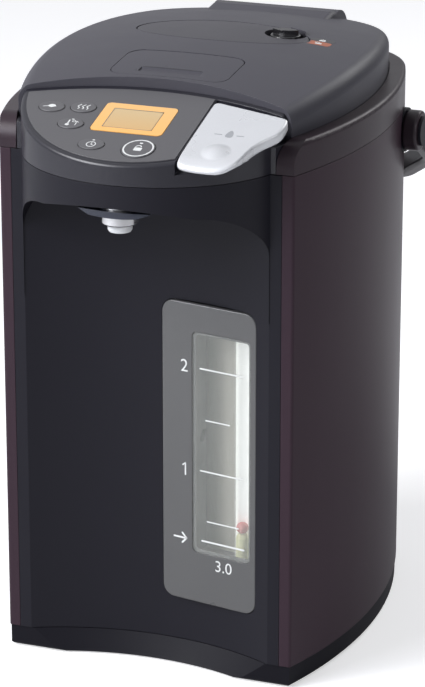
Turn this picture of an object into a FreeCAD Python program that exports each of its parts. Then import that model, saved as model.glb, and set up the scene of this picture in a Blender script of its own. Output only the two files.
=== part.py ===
import FreeCAD, Part, Sketcher
import math
import os

from FreeCAD import Placement, Rotation, Vector

# Electric thermo pot: floor at z = 0, front towards -Y, centre of the outer shell on the Z axis.

doc = FreeCAD.newDocument("thermo_pot")
sheet = doc.addObject("Spreadsheet::Sheet", "Sizes")

SIZES = {
    # Plan of the outer shell: straight front, bowed sides, rounded back
    "shell_half_width": 95.7,
    "front_half_width": 79.8,
    "front_reach": 91.6,
    "side_turn": 19.0,
    "rear_radius": 50.0,
    "rear_turn": 80.0,
    "strip_width": 6.1,
    "shell_wall": 1.2,
    # Heights of the stacked casing parts
    "band_bottom": 0.9,
    "band_top": 12.0,
    "shell_top": 278.4,
    "ring_top": 295.0,
    "seam": 0.3,
    "running_gap": 0.05,
    # Front panel: scooped channel under the beak
    "panel_wall": 2.2,
    "scoop_depth": 16.0,
    "scoop_half_width": 67.2,
    "scoop_toe": 6.4,
    "arch_top": 266.5,
    "arch_fall": 5.0,
    "arch_corner": 26.0,
    "side_return": 18.0,
    # Beak: round nose with a sloping control surface
    "beak_reach": 138.3,
    "beak_radius": 72.0,
    "beak_tip_z": 289.0,
    "panel_slope": 16.2,
    "parting_reach": 66.0,
    "parting_radius": 206.0,
    "shoulder_z": 292.5,
    "beak_edge_round": 2.0,
    # Control surface
    "overlay_thick": 0.5,
    "overlay_margin": 3.0,
    "display_x": -3.0,
    "display_up": 43.0,
    "display_wide": 38.5,
    "display_long": 27.0,
    "key_wide": 13.6,
    "key_long": 9.6,
    "ring_key_size": 17.0,
    "key_height": 0.5,
    "key_travel": 0.5,
    "board_depth": 9.4,
    "board_thick": 1.6,
    # Dispensing lever
    "lever_left": 32.5,
    "lever_thick": 3.5,
    "lever_rise": 3.0,
    "lever_skirt": 6.0,
    "lever_well": 6.2,
    "lever_pin_radius": 1.5,
    "lever_pin_depth": 3.3,
    "lever_pin_up": 56.0,
    "lever_rear_gap": 3.6,
    # Outlet
    "nozzle_reach": 124.5,
    "nozzle_radius": 9.2,
    "nozzle_low": 255.5,
    "tip_radius": 6.2,
    "tip_low": 251.5,
    "spout_bore": 3.5,
    "pipe_radius": 4.0,
    # Level gauge, turned to follow the right of the scoop
    "gauge_turn": 11.0,
    "gauge_x": 1.0,
    "gauge_reach": 76.0,
    "gauge_left": 2.0,
    "gauge_right": 59.0,
    "gauge_low": 36.5,
    "gauge_high": 202.0,
    "gauge_plate": 2.2,
    "gauge_case_depth": 17.0,
    "window_left": 20.5,
    "window_right": 55.5,
    "window_low": 65.0,
    "window_high": 187.0,
    "window_thick": 1.2,
    "tube_along": 45.0,
    "tube_depth": 10.0,
    "tube_radius": 4.5,
    "tube_bore": 3.5,
    "ball_radius": 3.2,
    "ball_rest": 80.0,
    # Shoulder ring
    "ring_ledge": 8.8,
    "ring_floor": 287.0,
    "ring_floor_thick": 6.0,
    "ring_front_round": 13.0,
    # Lid
    "lid_gap": 0.4,
    "lid_bottom": 289.0,
    "lid_crest_z": 321.5,
    "lid_crest_y": 15.0,
    "lid_side_bow": 560.0,
    "lid_long_bow": 520.0,
    "lid_edge_round": 8.0,
    "lid_wall": 3.0,
    # Hinge at the back of the lid
    "hinge_y": 108.0,
    "hinge_z": 300.0,
    "barrel_radius": 16.0,
    "barrel_half": 36.0,
    "hinge_pin_radius": 2.5,
    "ear_x": 27.0,
    "ear_thick": 5.0,
    # Latch, push plate and lock on the lid
    "latch_half_width": 32.0,
    "latch_front": 62.6,
    "latch_rear": 27.4,
    "latch_thick": 3.2,
    "latch_well": 8.0,
    "latch_swing_gap": 1.3,
    "push_y": 21.0,
    "push_half_width": 48.0,
    "push_half_depth": 23.0,
    "push_travel": 13.0,
    "knob_x": 33.0,
    "knob_y": 28.0,
    "knob_radius": 8.2,
    # Water vessel
    "vessel_y": 16.0,
    "vessel_radius": 75.0,
    "vessel_wall": 1.0,
    "vessel_floor": 57.0,
    "neck_radius": 66.0,
    "jacket_radius": 80.0,
    "flange_radius": 79.5,
    "mouth_radius": 76.0,
    "heater_radius": 52.0,
    # Pump and electrics
    "pump_y": -46.0,
    "pump_radius": 23.0,
    "pump_low": 30.3,
    "pump_high": 46.0,
    "motor_radius": 17.0,
    "inlet_z": 30.0,
    "inlet_half_width": 17.0,
    "inlet_half_height": 8.5,
    "cover_low": 2.2,
    "cover_thick": 2.2,
    "foot_radius": 9.0,
    # Carrying handle
    "pivot_y": 62.0,
    "pivot_z": 265.0,
    "pivot_boss_radius": 12.0,
    "pivot_x": 90.8,
    "handle_thick": 8.0,
    "handle_deep": 13.0,
    "handle_length": 88.0,
    "handle_drop": 30.0,
}

for row, (alias, number) in enumerate(SIZES.items(), 1):
    sheet.set(f"A{row}", alias)
    sheet.set(f"B{row}", str(number))
    sheet.setAlias(f"B{row}", alias)
doc.recompute()


class Size:
    """A number kept together with the sheet formula that gives it."""

    def __init__(self, value, text):
        self.value = value
        self.text = text

    def _join(self, other, sign, value):
        return Size(value, f"({self.text} {sign} {size(other).text})")

    def __add__(self, other):
        return self._join(other, "+", self.value + size(other).value)

    def __sub__(self, other):
        return self._join(other, "-", self.value - size(other).value)

    def __mul__(self, other):
        return self._join(other, "*", self.value * size(other).value)

    def __truediv__(self, other):
        return self._join(other, "/", self.value / size(other).value)

    def __radd__(self, other):
        return size(other) + self

    def __rsub__(self, other):
        return size(other) - self

    def __rmul__(self, other):
        return size(other) * self

    def __neg__(self):
        return size(0) - self

    def __float__(self):
        return float(self.value)


def size(number):
    if isinstance(number, Size):
        return number
    return Size(float(number), f"({float(number)!r})")


def sine(angle):
    return Size(math.sin(math.radians(float(angle))), f"sin({size(angle).text})")


def cosine(angle):
    return Size(math.cos(math.radians(float(angle))), f"cos({size(angle).text})")


def root(number):
    return Size(math.sqrt(float(number)), f"sqrt({size(number).text})")


class Sheet:
    """The driving sizes, each read back from its cell."""


s = Sheet()
for alias in SIZES:
    setattr(s, alias, Size(float(sheet.get(alias)), f"Sizes.{alias}"))


# Sketches, bodies and solids

PLANES = {"XY": "XY_Plane", "XZ": "XZ_Plane", "YZ": "YZ_Plane"}
FACING = {
    "XY": Rotation(),
    "XZ": Rotation(Vector(1, 0, 0), 90),
    "YZ": Rotation(Vector(1, 1, 1), 120),
}


def bind(item, path, value):
    item.setExpression(path, size(value).text)


def hold(sketch, kind, value, *where):
    number = sketch.addConstraint(Sketcher.Constraint(kind, *where, float(value)))
    bind(sketch, f"Constraints[{number}]", value)


def pin_point(sketch, edge, end, x, y):
    hold(sketch, "DistanceX", x, -1, 1, edge, end)
    hold(sketch, "DistanceY", y, -1, 1, edge, end)


def arc_through(start, end, radius):
    """Arc from start to end, anticlockwise for a positive radius."""
    reach = end - start
    half = reach.Length / 2
    rise = math.sqrt(max(radius * radius - half * half, 0.0))
    side = Vector(-reach.y, reach.x, 0).normalize() * math.copysign(rise, radius)
    centre = (start + end) / 2 + side
    first, last = (start, end) if radius > 0 else (end, start)
    turns = [math.atan2(p.y - centre.y, p.x - centre.x) for p in (first, last)]
    if turns[1] < turns[0]:
        turns[1] += 2 * math.pi
    circle = Part.Circle(centre, Vector(0, 0, 1), abs(radius))
    return Part.ArcOfCircle(circle, turns[0], turns[1])


def draw_loop(sketch, corners):
    """Closed outline of corners (x, y), or (x, y, radius) where an arc starts."""
    first = sketch.GeometryCount
    points = [Vector(float(c[0]), float(c[1]), 0) for c in corners]
    count = len(corners)
    for i, corner in enumerate(corners):
        start, end = points[i], points[(i + 1) % count]
        if len(corner) == 3:
            sketch.addGeometry(arc_through(start, end, float(corner[2])), False)
        else:
            sketch.addGeometry(Part.LineSegment(start, end), False)
    backward = [len(c) == 3 and float(c[2]) < 0 for c in corners]
    for i, corner in enumerate(corners):
        after = (i + 1) % count
        tail = 1 if backward[i] else 2
        head = 2 if backward[after] else 1
        joint = Sketcher.Constraint("Coincident", first + i, tail, first + after, head)
        sketch.addConstraint(joint)
        pin_point(sketch, first + i, 2 if backward[i] else 1, corner[0], corner[1])
        if len(corner) == 3:
            radius = size(corner[2])
            hold(sketch, "Radius", radius if radius.value > 0 else -radius, first + i)


def draw_circle(sketch, x, y, radius):
    edge = sketch.addGeometry(Part.Circle(Vector(float(x), float(y), 0), Vector(0, 0, 1),
                                          float(radius)), False)
    pin_point(sketch, edge, 3, x, y)
    hold(sketch, "Radius", radius, edge)


def draw_oval(sketch, x, y, half_width, half_height):
    """Ellipse wider than high, or higher than wide."""
    wide = float(half_width) >= float(half_height)
    centre = Vector(float(x), float(y), 0)
    along = Vector(float(half_width), 0, 0) if wide else Vector(0, float(half_height), 0)
    across = Vector(0, float(half_height), 0) if wide else Vector(-float(half_width), 0, 0)
    edge = sketch.addGeometry(Part.Ellipse(centre + along, centre + across, centre), False)
    sketch.exposeInternalGeometry(edge)
    major, minor = edge + 1, edge + 2
    pin_point(sketch, edge, 3, x, y)
    sketch.addConstraint(Sketcher.Constraint("Horizontal" if wide else "Vertical", major))
    longer, shorter = (half_width, half_height) if wide else (half_height, half_width)
    hold(sketch, "Distance", size(longer) * 2, major)
    hold(sketch, "Distance", size(shorter) * 2, minor)


def draw(sketch, outline):
    kind = outline[0]
    if kind == "circle":
        draw_circle(sketch, *outline[1:])
    elif kind == "oval":
        draw_oval(sketch, *outline[1:])
    else:
        draw_loop(sketch, outline)


def rounded(left, low, right, high, radius):
    """Corners of a rectangle with rounded corners."""
    left, low, right, high, radius = [size(v) for v in (left, low, right, high, radius)]
    return [
        (left + radius, low), (right - radius, low, radius),
        (right, low + radius), (right, high - radius, radius),
        (right - radius, high), (left + radius, high, radius),
        (left, high - radius), (left, low + radius, radius),
    ]


def block(left, low, right, high):
    return [(left, low), (right, low), (right, high), (left, high)]


def flat_sketch(label, plane, outlines, offset=0.0):
    """Sketch that stands by itself, offset along the normal of its plane."""
    sketch = doc.addObject("Sketcher::SketchObject", label + "_outline")
    normal = FACING[plane].multVec(Vector(0, 0, 1))
    sketch.Placement = Placement(normal * float(offset), FACING[plane])
    for axis, part in zip("xyz", normal):
        if abs(part) > 0.5:
            bind(sketch, f"Placement.Base.{axis}", size(offset) * round(part))
    for outline in outlines:
        draw(sketch, outline)
    return sketch


def prism(label, plane, outlines, low, high):
    """Extrusion between two distances along the normal of a plane."""
    solid = doc.addObject("Part::Extrusion", label)
    solid.Base = flat_sketch(label, plane, outlines, low)
    solid.DirMode = "Normal"
    solid.Solid = True
    bind(solid, "LengthFwd", size(high) - low)
    solid.LengthFwd = float(size(high) - low)
    return solid


def place(item, x=0.0, y=0.0, z=0.0, turn=None):
    """Put an item at a place, turned about an axis where one is given."""
    axis, angle = turn if turn else (Vector(0, 0, 1), size(0))
    item.Placement = Placement(Vector(float(x), float(y), float(z)), Rotation(axis, float(angle)))
    for name, value in zip("xyz", (x, y, z)):
        bind(item, f"Placement.Base.{name}", value)
    if turn and isinstance(angle, Size):
        bind(item, "Placement.Rotation.Angle", angle)
    return item


def cylinder(label, radius, height, x=0.0, y=0.0, z=0.0, turn=None):
    item = doc.addObject("Part::Cylinder", label)
    bind(item, "Radius", radius)
    bind(item, "Height", height)
    return place(item, x, y, z, turn)


def box(label, x0, y0, z0, x1, y1, z1):
    item = doc.addObject("Part::Box", label)
    bind(item, "Length", size(x1) - x0)
    bind(item, "Width", size(y1) - y0)
    bind(item, "Height", size(z1) - z0)
    return place(item, x0, y0, z0)


def joined(label, kind, first, second):
    item = doc.addObject("Part::" + kind, label)
    item.Base = first
    item.Tool = second
    return item


def cut(label, first, *tools):
    for number, tool in enumerate(tools):
        first = joined(f"{label}_cut{number}", "Cut", first, tool)
    return first


def common(label, first, *tools):
    for number, tool in enumerate(tools):
        first = joined(f"{label}_common{number}", "Common", first, tool)
    return first


def fuse(label, first, *tools):
    for number, tool in enumerate(tools):
        first = joined(f"{label}_fuse{number}", "Fuse", first, tool)
    return first


def rounded_edges(label, item, radius, wanted):
    """Round the edges that a test picks out."""
    doc.recompute()
    fillet = doc.addObject("Part::Fillet", label)
    fillet.Base = item
    picks = [i for i, edge in enumerate(item.Shape.Edges, 1) if wanted(edge)]
    fillet.Edges = [(i, float(radius), float(radius)) for i in picks]
    return fillet


nodes = {}


def node(name, item):
    """Register a finished sub-part under its own name."""
    item.Label = name
    nodes[name] = item
    return item


class Body:
    """PartDesign body whose sketches lie on its own origin planes."""

    def __init__(self, name):
        self.body = doc.addObject("PartDesign::Body", name)
        self.name = name
        doc.recompute()

    def sketch(self, plane, outlines, offset):
        sketch = self.body.newObject("Sketcher::SketchObject", self.name + "_sketch")
        origin = self.body.Origin.OriginFeatures
        face = [f for f in origin if f.Role == PLANES[plane]][0]
        sketch.AttachmentSupport = [(face, "")]
        sketch.MapMode = "FlatFace"
        bind(sketch, "AttachmentOffset.Base.z", offset)
        for outline in outlines:
            draw(sketch, outline)
        return sketch

    def feature(self, kind, sketch):
        item = self.body.newObject("PartDesign::" + kind, f"{self.name}_{kind.lower()}")
        item.Profile = sketch
        return item

    def pad(self, plane, outlines, low, high):
        item = self.feature("Pad", self.sketch(plane, outlines, low))
        bind(item, "Length", size(high) - low)
        doc.recompute()
        return self

    def pocket(self, plane, outlines, low, high):
        """Cut downwards from the high distance to the low one."""
        item = self.feature("Pocket", self.sketch(plane, outlines, high))
        bind(item, "Length", size(high) - low)
        doc.recompute()
        return self

    def turn(self, outlines, groove=False):
        """Revolve an outline of the XZ plane about the Z axis of the body."""
        sketch = self.sketch("XZ", outlines, 0.0)
        item = self.feature("Groove" if groove else "Revolution", sketch)
        item.ReferenceAxis = (sketch, ["V_Axis"])
        item.Angle = 360
        doc.recompute()
        return self

    def round(self, radius, wanted, kind="Fillet"):
        base = self.body.Tip
        picks = [f"Edge{i}" for i, e in enumerate(base.Shape.Edges, 1) if wanted(e)]
        item = self.body.newObject("PartDesign::" + kind, f"{self.name}_{kind.lower()}")
        item.Base = (base, picks)
        bind(item, "Radius" if kind == "Fillet" else "Size", radius)
        self.body.Tip = item
        doc.recompute()
        return self


def middle(edge):
    return edge.valueAt((edge.FirstParameter + edge.LastParameter) / 2)


def near(value, target, slack=0.05):
    return abs(value - float(target)) < slack


# Plan of the casing at a given inset from the outer shell

side_sag = s.shell_half_width - s.front_half_width
side_radius = (s.front_reach * s.front_reach + side_sag * side_sag) / (side_sag * 2)
side_centre = s.shell_half_width - side_radius
corner_x = side_centre + (side_radius - s.rear_radius) * cosine(s.side_turn)
corner_y = (side_radius - s.rear_radius) * sine(s.side_turn)
rear_radius = s.rear_radius + corner_x / cosine(s.rear_turn)
rear_centre = corner_y - corner_x * sine(s.rear_turn) / cosine(s.rear_turn)
rear_y = rear_centre + rear_radius


def side_x(y, inset=0.0):
    """Half width of the plan at a distance behind the centre."""
    reach = side_radius - inset
    return side_centre + root(reach * reach - size(y) * y)


def plan(inset=0.0, front=None):
    """Closed plan outline, inset all round, with its own front inset if given."""
    inset = size(inset)
    front_y = s.front_reach - (inset if front is None else front)
    side, corner, rear = side_radius - inset, s.rear_radius - inset, rear_radius - inset
    x0 = side_x(front_y, inset)
    x1 = side_centre + side * cosine(s.side_turn)
    y1 = side * sine(s.side_turn)
    x2 = corner_x + corner * cosine(s.rear_turn)
    y2 = corner_y + corner * sine(s.rear_turn)
    return [
        (-x0, -front_y), (x0, -front_y, side), (x1, y1, corner),
        (x2, y2, rear), (-x2, y2, corner), (-x1, y1, side),
    ]


# Sloping control surface: a frame at the tip of the beak, tilted back

TILT = Vector(1, 0, 0)
beak_centre = s.beak_reach - s.beak_radius


def tilted(item):
    return place(item, 0.0, -s.beak_reach, s.beak_tip_z, (TILT, s.panel_slope))


def slab(label, low, high):
    """Large plate between two depths along the normal of the control surface."""
    item = doc.addObject("Part::Box", label)
    span = size(400)
    item.Length = item.Width = 400
    bind(item, "Height", size(high) - low)
    half = span / 2
    y = -s.beak_reach - half * cosine(s.panel_slope) - size(low) * sine(s.panel_slope)
    z = s.beak_tip_z - half * sine(s.panel_slope) + size(low) * cosine(s.panel_slope)
    return place(item, -half, y, z, (TILT, s.panel_slope))


def nose(label, radius, low, high):
    return cylinder(label, radius, size(high) - low, 0.0, -beak_centre, low)


def front_arc(label, radius, low, high):
    """Everything in front of the curved parting line between beak and lid."""
    centre = s.parting_reach + s.parting_radius
    return cylinder(label, radius, size(high) - low, 0.0, -centre, low)


# Side shell: one brown sheet wrapped round the back, ending in two front strips

strip_inner = s.front_half_width - s.strip_width
shell = Body("side_shell")
shell.pad("XY", [plan()], s.band_top + s.seam, s.shell_top)
shell.pocket("XY", [plan(s.shell_wall)], s.band_top, s.shell_top + 1)
shell.pocket("XY", [block(-strip_inner, -s.front_reach - 5, strip_inner, -s.front_reach + 10)],
             s.band_top, s.shell_top + 1)
shell.round(s.shell_wall * 1.5, lambda e: near(middle(e).y, -s.front_reach)
            and near(abs(middle(e).x), s.front_half_width))
inlet_flange = s.inlet_half_width + 1.5
shell.pocket("YZ", [("circle", s.pivot_y, s.pivot_z, s.pivot_boss_radius + s.seam)], -s.shell_half_width,
             s.shell_half_width)
shell.pocket("XZ", [rounded(-s.inlet_half_width - 0.3, s.inlet_z - s.inlet_half_height - 0.3,
                            s.inlet_half_width + 0.3, s.inlet_z + s.inlet_half_height + 0.3, 2.3)],
             -rear_y - 2, -rear_y + 12)
node("side_shell", shell.body)


# Base band: dark foot ring, with a sloping toe that follows the scoop

scoop_radius = (s.scoop_half_width * s.scoop_half_width + s.scoop_depth * s.scoop_depth) \
    / (s.scoop_depth * 2)
scoop_centre = s.front_reach - s.scoop_depth + scoop_radius

band_inset = 0.7
cover_inset = 7.0
cover_front = 24.0
band = Body("band")
band.pad("XY", [plan(band_inset)], s.band_bottom, s.band_top)
band.round(1.2, lambda e: near(middle(e).z, s.band_bottom), "Chamfer")
band.pocket("XY", [plan(cover_inset, cover_front)], 0.0, s.band_top + 1)
toe = doc.addObject("Part::Cone", "scoop_toe_cone")
bind(toe, "Radius1", scoop_radius - s.scoop_toe)
bind(toe, "Radius2", scoop_radius)
bind(toe, "Height", s.band_top)
place(toe, 0.0, -scoop_centre, 0.0)
node("base_band", cut("base_band", band.body, toe))


# Base cover: closes the bottom, carries the pump, the board and the feet

cover_top = s.cover_low + s.cover_thick
post_spots = [(-38.0, 60.0), (38.0, 60.0), (-38.0, 100.0), (38.0, 100.0)]
post_top = cover_top + 9.3
screw_radius = 1.5
foot_spots = [(-58.0, -48.0), (58.0, -48.0), (-50.0, 86.0), (50.0, 86.0)]
cover = Body("base_cover")
cover.pad("XY", [plan(cover_inset + s.seam, cover_front + s.seam)], s.cover_low, cover_top)
cover.pad("XY", [("circle", x, y, 4.0) for x, y in post_spots], cover_top - 0.1, post_top)
cover.pad("XY", [("circle", 0.0, s.pump_y, s.motor_radius + 3),
                 ("circle", 0.0, s.pump_y, s.motor_radius + s.seam)], cover_top - 0.1, cover_top + 8)
cover.pocket("XY", [("circle", x, y, screw_radius + s.running_gap) for x, y in post_spots],
             0.0, post_top + 1)
cover.pocket("XY", [rounded(-14.0, 10.0 + 7 * i, 14.0, 13.0 + 7 * i, 1.4) for i in range(5)],
             0.0, cover_top + 1)
node("base_cover", cover.body)

feet = Body("rubber_feet")
feet.pad("XY", [("circle", x, y, s.foot_radius) for x, y in foot_spots], 0.0, s.cover_low)
feet.round(0.6, lambda e: near(middle(e).z, 0.0))
node("rubber_feet", feet.body)

screws = Body("base_screws")
screws.pad("XY", [("circle", x, y, 3.2) for x, y in post_spots], s.cover_low - 1.1, s.cover_low)
screws.pad("XY", [("circle", x, y, screw_radius) for x, y in post_spots],
           s.cover_low - 0.1, post_top - 0.5)
node("base_screws", screws.body)


# Front panel: flat borders, a scooped channel with an arched top, and the hood of the beak

panel_half = strip_inner - 0.2
panel_low = s.band_top + s.seam
panel_high = s.shell_top - 0.15
back_y = s.front_reach - s.scoop_depth - s.panel_wall


def arch(label, grow, reach_front, reach_back, radius):
    """The channel: an arched outline seen from the front, bounded by the scoop behind."""
    half = s.scoop_half_width + grow
    top = s.arch_top + grow
    corner = s.arch_corner + grow
    spring = top - s.arch_fall - corner
    crown_half = half - corner
    crown = (crown_half * crown_half + s.arch_fall * s.arch_fall) / (s.arch_fall * 2)
    outline = [(-half, -5.0), (half, -5.0), (half, spring, corner),
               (crown_half, spring + corner, crown), (-crown_half, spring + corner, corner),
               (-half, spring)]
    tunnel = prism(label + "_tunnel", "XZ", [outline], reach_back, reach_front)
    scoop = cylinder(label + "_scoop", radius, 400.0, 0.0, -scoop_centre, -10.0)
    return common(label, tunnel, scoop)


panel_body = fuse(
    "panel_mass",
    box("panel_slab", -panel_half, -s.front_reach, panel_low, panel_half, -back_y, panel_high),
    nose("panel_hood", s.beak_radius, 200.0, panel_high),
)
panel_rear = box("panel_rear", -200.0, -s.front_reach + s.side_return, 0.0, 200.0, 200.0, 400.0)
panel_inside = fuse(
    "panel_inside",
    box("panel_inner_slab", -panel_half + s.panel_wall, -s.front_reach + s.panel_wall, 0.0,
        panel_half - s.panel_wall, 0.0, 400.0),
    nose("panel_inner_hood", s.beak_radius - s.panel_wall, 100.0, 400.0),
)
hollow = cut("panel_hollow", panel_inside,
             arch("channel_back", s.panel_wall, 250.0, 20.0, scoop_radius + s.panel_wall))
panel_shell = cut("panel_shell", panel_body, arch("channel", 0.0, 250.0, 20.0, scoop_radius),
                  hollow, panel_rear)

gauge_axis = Vector(0, 0, 1)


def gauge_frame_of(item):
    """The gauge is built in its own frame and turned to its place on the scoop."""
    return place(item, s.gauge_x, -s.gauge_reach, 0.0, (gauge_axis, -s.gauge_turn))


gauge_hole = gauge_frame_of(prism(
    "gauge_hole", "XZ",
    [rounded(s.gauge_left - s.seam, s.gauge_low - s.seam, s.gauge_right + s.seam,
             s.gauge_high + s.seam, 7.3)], -30.0, 30.0))
nozzle_hole = cylinder("nozzle_hole", s.nozzle_radius + s.seam, 40.0, 0.0, -s.nozzle_reach, 250.0)
node("front_panel", cut("front_panel", panel_shell, gauge_hole, nozzle_hole))


# Beak housing: hollow nose under the control surface, with shoulders that meet the ring

beak_low = s.shell_top + 0.15
beak_inner = s.beak_radius - s.panel_wall
beak_back = box("beak_back", -s.beak_radius, -beak_centre, beak_low, s.beak_radius,
                -s.parting_reach + 20, 340.0)
nose_mass = common("nose_mass",
                   fuse("nose_plan", nose("nose_round", s.beak_radius, beak_low, 340.0), beak_back),
                   slab("below_surface", -150.0, 0.0))
nose_soft = rounded_edges(
    "nose_soft", nose_mass, s.beak_edge_round,
    lambda e: e.BoundBox.YMin < -float(s.beak_reach) + 1 and e.BoundBox.ZMin > float(s.beak_tip_z) - 1
    and e.BoundBox.XLength > float(s.beak_radius))
shoulders = prism("shoulders", "XY", [plan(s.ring_ledge + s.lid_gap, s.seam)], beak_low, s.shoulder_z)
beak_mass = common("beak_mass", fuse("beak_outer", nose_soft, shoulders),
                   front_arc("beak_front_arc", s.parting_radius, 200.0, 400.0))
inner_plan = common(
    "beak_inner_plan",
    fuse("beak_inner_mass", nose("beak_inner_round", beak_inner, 200.0, 340.0),
         box("beak_inner_back", -beak_inner, -beak_centre - 1, 200.0, beak_inner, 0.0, 340.0)),
    front_arc("beak_inner_arc", s.parting_radius - s.panel_wall, 150.0, 400.0))
well_wall = s.lever_left - 0.8
well_floor = s.lever_well + s.panel_wall
left_hollow = common("left_hollow", inner_plan, slab("under_surface", -150.0, -s.panel_wall),
                     box("left_half", -200.0, -200.0, 0.0, well_wall - s.panel_wall, 50.0, 400.0))
right_hollow = common("right_hollow", inner_plan, slab("under_well", -150.0, -well_floor),
                      box("right_half", well_wall - s.panel_wall - 1, -200.0, 0.0, 200.0, 50.0, 400.0))
pin_y = -s.beak_reach + s.lever_pin_up * cosine(s.panel_slope) \
    + s.lever_pin_depth * sine(s.panel_slope)
pin_z = s.beak_tip_z + s.lever_pin_up * sine(s.panel_slope) \
    - s.lever_pin_depth * cosine(s.panel_slope)
lever_back_radius = s.parting_radius - s.lever_rear_gap
lever_well = common(
    "lever_well", box("lever_well_plan", well_wall, -200.0, 250.0, 120.0, 0.0, 350.0),
    front_arc("lever_well_arc", lever_back_radius + 0.9, 200.0, 400.0),
    slab("lever_well_slab", -s.lever_well, 30.0))
rib_x = 63.0
rib_thick = 3.0
rib = common("lever_rib",
             box("lever_rib_plan", rib_x, pin_y - 4, 250.0, rib_x + rib_thick, pin_y + 4, 350.0),
             slab("lever_rib_slab", -s.lever_well - 1, -0.9))
pin_left = well_wall - s.panel_wall
pin_hole = cylinder("lever_pin_hole", s.lever_pin_radius + s.running_gap, 60.0, pin_left, pin_y, pin_z,
                    (Vector(0, 1, 0), 90))

KEYS = {
    "key_power_save": (-49.5, 47.2),
    "key_reboil": (-33.0, 49.3),
    "key_keep_warm": (-33.5, 33.1),
    "key_timer": (-15.5, 15.9),
}
RING_KEY = (9.5, 16.1)


def key_outline(x, up, grow=0.0):
    return ("oval", x, up, s.key_wide / 2 + grow, s.key_long / 2 + grow)


display_left = s.display_x - s.display_wide / 2
display_low = s.display_up - s.display_long / 2


def display_outline(grow):
    left, low = display_left - grow, display_low - grow
    right, high = left + s.display_wide + size(grow) * 2, low + s.display_long + size(grow) * 2
    return rounded(left, low, right, high, 2.5 + grow)


key_holes = [key_outline(x, up, s.seam) for x, up in KEYS.values()]
ring_hole = ("circle", RING_KEY[0], RING_KEY[1], s.ring_key_size / 2 + s.seam)
surface_holes = tilted(prism("surface_holes", "XY", [*key_holes, ring_hole, display_outline(s.seam)],
                             -s.panel_wall - 3, 5.0))
pillar_spots = [(-40.0, 62.0), (22.0, 62.0), (-22.0, 17.0), (23.0, 26.0)]
pillars = tilted(prism("board_pillars", "XY", [("circle", x, up, 2.5) for x, up in pillar_spots],
                       -s.board_depth + 0.1, -s.panel_wall + 0.5))
catch_low = 298.6
catch_high = 303.4
catch = box("catch_slot", -10.6, -s.parting_reach - 12, catch_low - 0.2, 10.6, -s.parting_reach + 5,
            catch_high + 0.2)
beak_shell = cut("beak_shell", beak_mass, left_hollow, right_hollow, lever_well)
node("beak_housing", cut("beak_housing", fuse("beak_fitted", beak_shell, rib, pillars),
                         pin_hole, surface_holes, catch))


# Control overlay: thin film round the display and the keys

overlay_radius = s.beak_radius - s.overlay_margin
overlay_plan = common(
    "overlay_plan", nose("overlay_round", overlay_radius, 250.0, 340.0),
    box("overlay_side", -200.0, -200.0, 250.0, well_wall - 0.8, 0.0, 340.0),
    front_arc("overlay_arc", lever_back_radius, 200.0, 400.0),
    slab("overlay_slab", 0.0, s.overlay_thick))
node("control_overlay", cut("control_overlay", overlay_plan, surface_holes))

window_top = s.overlay_thick + 0.2
window = Body("lcd_window")
window.pad("XY", [display_outline(0.0)], -1.0, window_top)
node("lcd_window", tilted(window.body))

module = Body("lcd_module")
module.pad("XY", [display_outline(-1.5)], -s.board_depth, -1.2)
node("lcd_module", tilted(module.body))

board = common(
    "control_board", nose("board_round", beak_inner - 7, 250.0, 340.0),
    box("board_side", -200.0, -200.0, 250.0, well_wall - s.panel_wall - 1, 0.0, 340.0),
    front_arc("board_arc", lever_back_radius - 1.5, 200.0, 400.0),
    slab("board_slab", -s.board_depth - s.board_thick, -s.board_depth))
node("control_board", board)

switch_top = s.board_depth - 3.4
all_keys = {**KEYS, "key_unlock": RING_KEY}
switches = Body("key_switches")
switches.pad("XY", [block(x - 3, up - 3, x + 3, up + 3) for x, up in all_keys.values()],
             -s.board_depth, -switch_top)
node("key_switches", tilted(switches.body))

stem_low = -switch_top + s.key_travel + 0.1
for name, (x, up) in all_keys.items():
    face = ("circle", x, up, s.ring_key_size / 2) if name == "key_unlock" else key_outline(x, up)
    key = Body(name)
    key.pad("XY", [face], -s.panel_wall + 0.2, s.overlay_thick + s.key_height)
    key.round(0.35, lambda e: near(middle(e).z, s.overlay_thick + s.key_height))
    key.pad("XY", [("circle", x, up, 1.8)], stem_low, -s.panel_wall + 0.3)
    node(name, tilted(key.body))


# Dispensing lever: pressed plate with a skirt that follows the nose, hinged at the back

lever_inner = s.beak_radius + 1.0
lever_outer = lever_inner + 1.5
plate_low = s.lever_rise - s.lever_thick
lever_plan = common("lever_plan", nose("lever_round", lever_outer, 250.0, 340.0),
                    box("lever_side", s.lever_left, -200.0, 250.0, 120.0, 0.0, 340.0),
                    front_arc("lever_arc", lever_back_radius, 200.0, 400.0))
lever_mass = common("lever_mass", lever_plan, slab("lever_slab", -s.lever_skirt, s.lever_rise))
lever_soft = rounded_edges(
    "lever_soft", lever_mass, 1.4,
    lambda e: e.BoundBox.ZMin > float(s.beak_tip_z) + float(s.lever_rise) - 2
    and e.BoundBox.ZLength > 0.5 and not (e.BoundBox.XLength < 0.01 and e.BoundBox.YLength < 0.01))
lever_hollow = common("lever_hollow", nose("lever_hollow_round", lever_inner, 250.0, 340.0),
                      slab("lever_hollow_slab", -40.0, plate_low))
barrel_left = s.lever_left + 3
barrel_right = size(rib_x - 0.4)
barrel = cylinder("lever_barrel", s.lever_pin_radius + 1.2, barrel_right - barrel_left, barrel_left,
                  pin_y, pin_z, (Vector(0, 1, 0), 90))
web = common("lever_web",
             box("lever_web_plan", barrel_left, pin_y - 1.6, 250.0, barrel_right, pin_y + 1.6, 350.0),
             slab("lever_web_slab", -s.lever_pin_depth, plate_low + 0.2))
barrel_bore = cylinder("lever_bore", s.lever_pin_radius + s.running_gap, 80.0, 10.0, pin_y, pin_z,
                       (Vector(0, 1, 0), 90))
dimple_ball = doc.addObject("Part::Sphere", "lever_dimple")
dimple_radius = 46.0
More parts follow.
